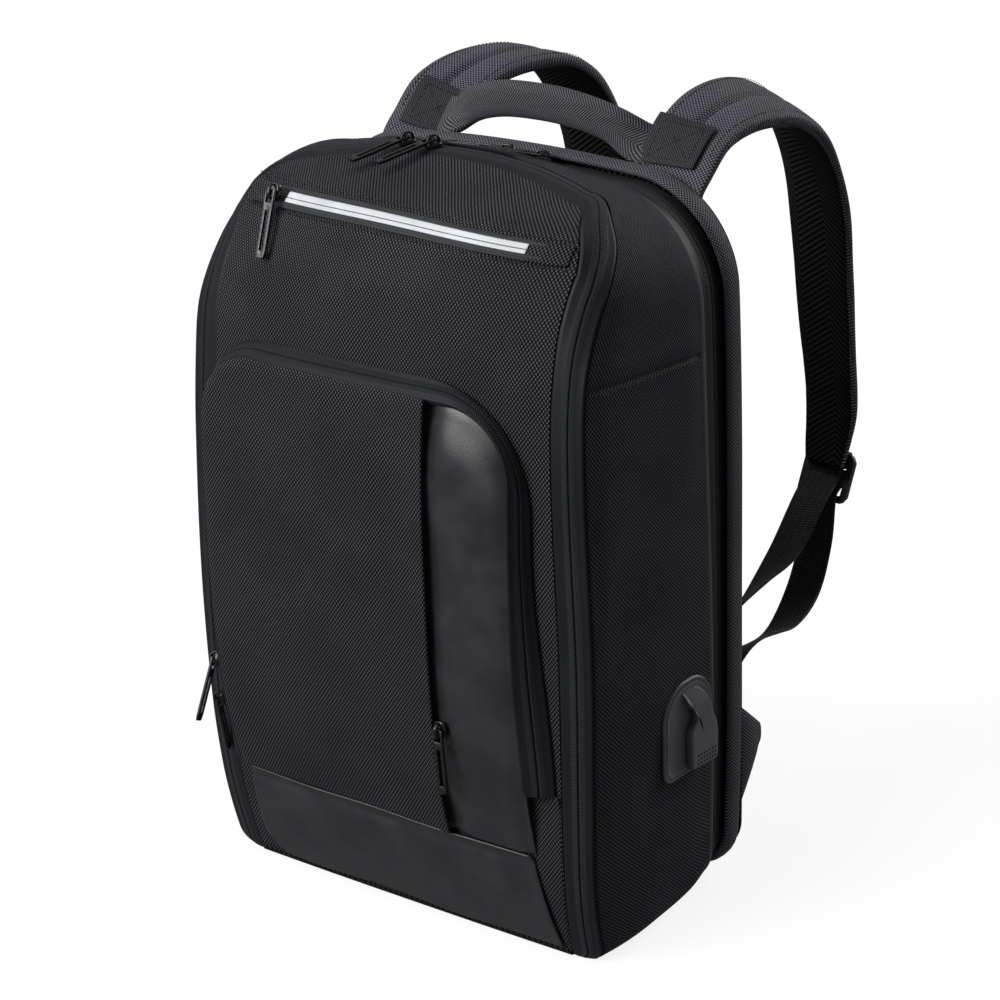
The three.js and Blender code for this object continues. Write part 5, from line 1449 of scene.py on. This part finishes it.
def makeStrap(name, run, node, look):
    shares = np.linspace(0, 1, look["steps"])
    frames = runFrames(rooted(run), shares)
    u, v = strapSection(look["square"])
    depth = smooth(*look["grooveStart"], shares) * smooth(*look["grooveEnd"], shares)
    width, thickness = frames[3][:, None], frames[4][:, None]
    groove = look["groove"] * depth[:, None] * bell(u[None] * width, look["grooveHalf"]) * (v > 0)
    far = lengths(frames[0])
    uneven = look["unevenness"] * ripple(u[None] * width, far[:, None], look["rippleSize"], len(name))
    uneven = uneven * smooth(0, 0.05, shares)[:, None]
    creases = sum(bell(far[:, None] - far[-1] + at, look["creaseHalf"]) for at in look["creases"])
    creases = look["creaseDepth"] * creases * bell(u[None] + 0.1, 0.25) * (v < 0)
    vv = v[None] + (np.sign(v)[None] * (uneven - creases) - groove) / thickness
    rings = overRun(frames, np.broadcast_to(u[None], vv.shape), vv)
    shape = newShape()
    uv = np.stack(np.broadcast_arrays(np.concatenate([u, u[:1]])[None] * width, far[:, None]), -1)
    # the underside takes the herringbone finish darkened as painted shade, the top takes ribCloth
    slots = np.where(v >= 0, 0, 1)
    slots[-1] = 0
    addTube(shape, rings, uv, slots)
    settle(finishMesh(name, shape, "ribCloth", "shadeDarkenedHerring"), "ribbed_cloth", node, fill=look["fill"])
    out = frames[2]
    for share in (-look["binding"] / 2, look["binding"] / 2):
        high = (1 - abs(2 * share) ** look["square"]) ** (1 / look["square"]) / 2
        line = overRun(frames, np.full((len(shares), 1), share), np.full((len(shares), 1), high))[:, 0]
        keep = shares > look["bindingFrom"]
        addStitches(strapStitches, line[keep] + out[keep] * 0.12, out[keep])
    bottom = 0.5 - look["groove"] * depth[:, None] / thickness
    middle = overRun(frames, np.zeros((len(shares), 1)), bottom)[:, 0]
    keep = depth > 0.5
    addStitches(strapStitches, middle[keep] + out[keep] * 0.1, out[keep])


makeStrap("strap_pad_right", rightStrap, "shoulder_strap_right", strapLook)
makeStrap("strap_pad_left", leftStrap, "shoulder_strap_left", strapLook)

# the seam's rows and columns make a box and its cross
strapPatch = {"inner": 25, "outer": -14, "from": 1 / 26, "to": 4 / 26, "lift": 1.1, "thickness": 1.4,
              "edge": 0.6, "rows": 26, "columns": 24, "stitchPitch": 2.9,
              "seam": [(3, 3), (22, 3), (22, 20), (3, 20), (3, 3), (22, 20), (22, 3), (3, 20)]}


def makeStrapPatch(name, run, toward, node, size):
    shares = np.linspace(size["from"], size["to"], size["rows"])
    middle, side, out, _, thickness = runFrames(run, shares)
    u = np.linspace(size["inner"], size["outer"], size["columns"]) * toward
    lift = (thickness / 2 + size["lift"] + size["thickness"])[:, None, None]
    grid = middle[:, None] + side[:, None] * u[None, :, None] + out[:, None] * lift
    uv = np.stack(np.broadcast_arrays(u[None], lengths(middle)[:, None]), -1)
    sewWall(name, "patchCloth", "ribbed_cloth", [node], grid, uv, size)
    steps = 30
    for start, end in zip(size["seam"], size["seam"][1:]):
        rows, columns = np.round(np.linspace(start, end, steps)).astype(int).T
        places = grid[rows, columns]
        line = np.linspace(places[0], places[-1], steps)
        line = line + out[rows] * np.sum((places - line) * out[rows], 1, keepdims=True)
        addStitches(strapStitches, line + out[rows] * 0.1, out[rows], size["stitchPitch"])


makeStrapPatch("strap_patch_cloth_right", rightStrap, -1, "strap_patch_right", strapPatch)
makeStrapPatch("strap_patch_cloth_left", leftStrap, 1, "strap_patch_left", strapPatch)

handleLook = {"steps": 110, "sides": 30, "square": 2.7, "fold": 0.7, "foldAt": 0.16, "foldHalf": 0.05,
              "folds": 40, "fill": 0.8}


def makeHandle(look):
    shares = np.linspace(0, 1, look["steps"])
    frames = runFrames(handleRun, shares)
    turn = wholeTurn(look["sides"])
    u, v = (power(way(turn), 2 / look["square"]) / 2 for way in (np.cos, np.sin))
    toEnd = np.minimum(shares, 1 - shares)[:, None]
    gather = look["fold"] * bell(toEnd - look["foldAt"], look["foldHalf"])  # where the grip flattens
    gather = gather * np.cos(u[None] * look["folds"])
    vv = v[None] + gather * np.sign(v)[None] / frames[4][:, None]
    rings = overRun(frames, np.broadcast_to(u, vv.shape), vv)
    sewTube("handle_grip", "handleCloth", "webbing", ["handle"], rings, tubeUv(rings), look["fill"])


makeHandle(handleLook)

# middle and edge are shares of the thickness
webbing = {"steps": 110, "columns": 16, "width": 25, "middle": 0.5, "edge": 0.22}


def makeWebbing(name, run, node, size):
    shares = np.linspace(0, 1, size["steps"])
    frames = runFrames(run, shares)
    across = np.linspace(-0.5, 0.5, size["columns"])
    u = np.concatenate([across, across[::-1]])
    v = np.where(np.abs(u) > 0.49, size["edge"], size["middle"])
    v[len(across):] *= -1
    whole = (len(shares), len(u))
    rings = overRun(frames, np.broadcast_to(u, whole), np.broadcast_to(v, whole))
    far = lengths(frames[0])
    uv = np.stack(np.broadcast_arrays(np.concatenate([u, u[:1]])[None] * size["width"], far[:, None]), -1)
    piece = sewTube(name, "webbingCloth", "webbing", [node], rings, uv)


for side, webs, tails in (("right", webbingRun, tailRun), ("left", mirrored(webbingRun), mirrored(tailRun))):
    makeWebbing(f"webbing_band_{side}", webs, f"webbing_{side}", webbing)
    makeWebbing(f"webbing_end_{side}", tails, f"webbing_tail_{side}", webbing)

wing = {"x": 151, "thickness": 7.2, "root": 80.9, "bottomZ": 44.5, "topZ": 115.5, "tip": 104, "low": 81,
        "high": 95, "steps": 40, "sides": 36, "square": 2.4, "fill": 0.6}


def makeWing(side, size):
    t = np.linspace(0, 1, size["steps"])
    y = size["root"] + (size["tip"] - size["root"]) * t
    low = size["bottomZ"] + (size["low"] - size["bottomZ"]) * t
    high = size["topZ"] + (size["high"] - size["topZ"]) * t
    turn = wholeTurn(size["sides"])
    thick = size["thickness"] / 2 * (0.55 + 0.45 * np.sin(np.clip(t * 1.15, 0, 1) * math.pi) ** 0.6)
    x = size["x"] - size["thickness"] / 2 + thick[:, None] * power(np.sin(turn), 2 / size["square"])[None]
    z = (low + high)[:, None] / 2 + (high - low)[:, None] / 2 * power(np.cos(turn), 2 / size["square"])[None]
    rings = np.stack([x * side, np.broadcast_to(y[:, None], x.shape), z], -1)
    uv = np.concatenate([rings, rings[:, :1]], 1)[..., 1:]
    name = sideName(side)
    sewTube(f"wing_pad_{name}", "ribCloth", "ribbed_cloth", [f"strap_wing_{name}"], rings, uv, size["fill"])


for side in (1, -1):
    makeWing(side, wing)

# Hard pieces: ladder buckles, zip sliders and pulls


def holedPlate(xs, ys, holes, moves):  # a flat mesh of cells without those in holes, its corners moved
    points = [(x, y, 0.0) for y in ys for x in xs]
    for index, place in moves.items():
        points[index] = (*place, 0.0)
    wide = len(xs)
    faces = [(r * wide + c, r * wide + c + 1, (r + 1) * wide + c + 1, (r + 1) * wide + c)
             for r in range(len(ys) - 1) for c in range(wide - 1) if (r, c) not in holes]
    used = sorted({i for f in faces for i in f})
    number = {old: new for new, old in enumerate(used)}
    return [points[i] for i in used], [tuple(number[i] for i in f) for f in faces]


def hardPiece(name, points, faces, place, size, paint):
    mesh = bpy.data.meshes.new(name)
    mesh.from_pydata([Vector(p) * mm for p in points], [], faces)
    mesh.materials.append(finishes[paint])
    mesh.uv_layers.new(name="cloth")
    made = bpy.data.objects.new(name, mesh)
    bpy.context.scene.collection.objects.link(made)
    made.matrix_world = place
    solid = made.modifiers.new("solid", "SOLIDIFY")
    solid.thickness, solid.offset = size["thickness"] * mm, 0
    rounding = made.modifiers.new("round", "BEVEL")
    rounding.width, rounding.segments, rounding.limit_method = size["bevel"] * mm, 3, "ANGLE"
    mesh.shade_smooth()
    made.modifiers.new("shade", "WEIGHTED_NORMAL")
    return made


buckle = {"halfWidth": 19, "halfLength": 17, "slotHalf": 14, "slotLength": 6, "barInset": 5, "thickness": 4.6,
          "at": (102, 261.3, 203), "lean": 28, "corner": 2.6, "bevel": 1.0,
          "loopHalf": 13.2, "loopMiddle": 12.6, "loopLength": 12.0, "loopRise": 8.0, "loopSides": 24,
          "loopRound": 0.7}


def makeBuckle(side, size):
    half, high, slot = size["halfWidth"], size["halfLength"], size["slotHalf"]
    bar, cut = high - size["barInset"], size["corner"]
    xs = [-half, -slot, slot, half]
    ys = [-high, -bar, size["slotLength"] - bar, bar - size["slotLength"], bar, high]
    moves = {0: (cut - half, cut * 0.4 - high), 3: (half - cut, cut * 0.4 - high),
             20: (cut - half, high - cut * 0.4), 23: (half - cut, high - cut * 0.4)}
    points, faces = holedPlate(xs, ys, {(1, 1), (3, 1)}, moves)
    x, y, z = size["at"]
    lean = Matrix.Rotation(math.radians(90 - size["lean"]), 4, "X")
    place = Matrix.Translation(Vector((x * side, y, z)) * mm) @ lean
    name = sideName(side)
    piece = hardPiece(f"ladder_buckle_{name}", points, faces, place, size, "bucklePlastic")
    settle(piece, "buckle_plastic", f"strap_buckle_{name}")
    turn = wholeTurn(size["loopSides"])
    across = np.linspace(-1, 1, 9) * size["loopHalf"]
    up = size["loopMiddle"] + size["loopLength"] / 2 * power(np.cos(turn), size["loopRound"])
    rise = size["loopRise"] / 2 * power(np.sin(turn), size["loopRound"])
    rings = np.stack(np.broadcast_arrays(across[:, None], up[None], rise[None]), -1)
    shape = newShape()
    addTube(shape, rings, tubeUv(rings))
    loop = finishMesh(f"buckle_loop_{name}", shape, "webbingCloth")
    loop.matrix_world = place
    settle(loop, "webbing")


for side in (1, -1):
    makeBuckle(side, buckle)

pull = {"length": 41, "half": 3.7, "thickness": 1.8, "bar": 0.9, "window": 7, "windowHalf": 2.2,
        "slotFrom": 12, "slotTo": 36, "slotHalf": 1.2, "corner": 1.3, "bevel": 0.42}
slider = {"length": 11, "width": 9, "height": 3.6, "hinge": 5.5, "bailHalf": 4.3, "bailTop": 7.7,
          "bailWidth": 2.6, "bailThick": 1.5, "bailSteps": 26, "bailSides": 14, "bailRound": 0.7,
          "bailSink": 0.8, "sides": 28, "levels": 8, "round": 0.72, "nose": 0.22}
sliderTilt = {"front_a": 9, "front_b": 9, "rear_a": 1, "pocket_a": -10, "pocket_b": -1}  # degrees


def zipperFrame(joint):  # hang, axis and normal at the pull's bar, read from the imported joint
    hinge = Vector(joint["pos_m"])
    axis = -Vector(joint["axis"]).normalized()
    mesh = frame["nodes"][joint["child"]].data
    middle = sum((v.co for v in mesh.vertices), Vector()) / len(mesh.vertices)
    hang = middle - hinge
    hang = (hang - axis * hang.dot(axis)).normalized()
    normal = hang.cross(axis)
    turn = Matrix((hang, axis, normal)).transposed().to_4x4()
    return Matrix.Translation(hinge) @ turn


def makePull(name, place, size):
    xs = [-size["bar"], size["bar"], size["window"], size["slotFrom"], size["slotTo"], size["length"]]
    ys = [size[k] for k in ("slotHalf", "windowHalf", "half")]
    ys = [-y for y in ys[::-1]] + ys
    end, side = size["length"] - size["corner"], size["half"] - size["corner"] * 0.5
    points, faces = holedPlate(xs, ys, {(1, 1), (2, 1), (3, 1), (2, 3)}, {5: (end, -side), 35: (end, side)})
    piece = hardPiece(f"{name}_tab", points, faces, place, size, "gunmetal")
    settle(piece, "zip_hardware", f"{name}_pull", body=f"{name}_pull")


def makeSlider(name, place, size):  # a rounded body with a bail over its bridge
    turn = wholeTurn(size["sides"])
    low = -size["hinge"]
    shape = newShape()
    level = np.linspace(0, 1, size["levels"])
    grow = np.concatenate([[0.6], np.sqrt(np.clip(1 - (2 * level - 1) ** 4, 0, 1)) * 0.12 + 0.88, [0.6]])
    height = np.concatenate([[0.0], 0.15 + level * (size["height"] - 0.3), [size["height"]]])
    nose = 1 - size["nose"] * smooth(0.1, 1, np.cos(turn))  # narrower towards its nose
    x = power(np.cos(turn), size["round"]) * size["length"] / 2
    y = power(np.sin(turn), size["round"]) * size["width"] / 2 * nose
    rings = np.stack([x[None] * grow[:, None], y[None] * grow[:, None],
                      np.broadcast_to((low + height)[:, None], (len(grow), len(turn)))], -1)
    addTube(shape, rings, np.zeros((len(grow), len(turn) + 1, 2)))
    bend = np.linspace(0, math.pi, size["bailSteps"])
    foot = low + size["height"] - size["bailSink"]
    top = size["bailTop"] - size["hinge"]
    x = -size["bailHalf"] * power(np.cos(bend), size["bailRound"])
    z = foot + (top - foot) * power(np.sin(bend), size["bailRound"])
    line = np.stack([x, np.zeros_like(x), z], 1)
    ahead = unit(np.gradient(line, axis=0))
    side = np.array([0.0, 1.0, 0.0])
    out = np.cross(ahead, side)
    section = wholeTurn(size["bailSides"])
    wide = power(np.cos(section), size["bailRound"]) * size["bailWidth"] / 2
    thick = power(np.sin(section), size["bailRound"]) * size["bailThick"] / 2
    rings = line[:, None] + wide[None, :, None] * side + thick[None, :, None] * out[:, None]
    addTube(shape, rings, np.zeros((len(line), len(section) + 1, 2)))
    piece = finishMesh(f"{name}_runner", shape, "gunmetal")
    piece.matrix_world = place
    settle(piece, "zip_hardware", f"{name}_slider")


for joint in frame["joints"]:
    zipName = joint["child"].removesuffix("_pull")
    placed = zipperFrame(joint)
    makePull(zipName, placed, pull)
    tilt = Matrix.Rotation(-math.radians(sliderTilt.get(zipName, 0)), 4, "Y")
    makeSlider(zipName, placed @ tilt, slider)

settle(finishMesh("body_stitching", bodyStitches, "thread"), "woven_cloth")
settle(finishMesh("strap_stitching", strapStitches, "thread"), "ribbed_cloth")
print("straps, handle and hardware made")

# Bring the view layer up to date

bpy.context.view_layer.update()
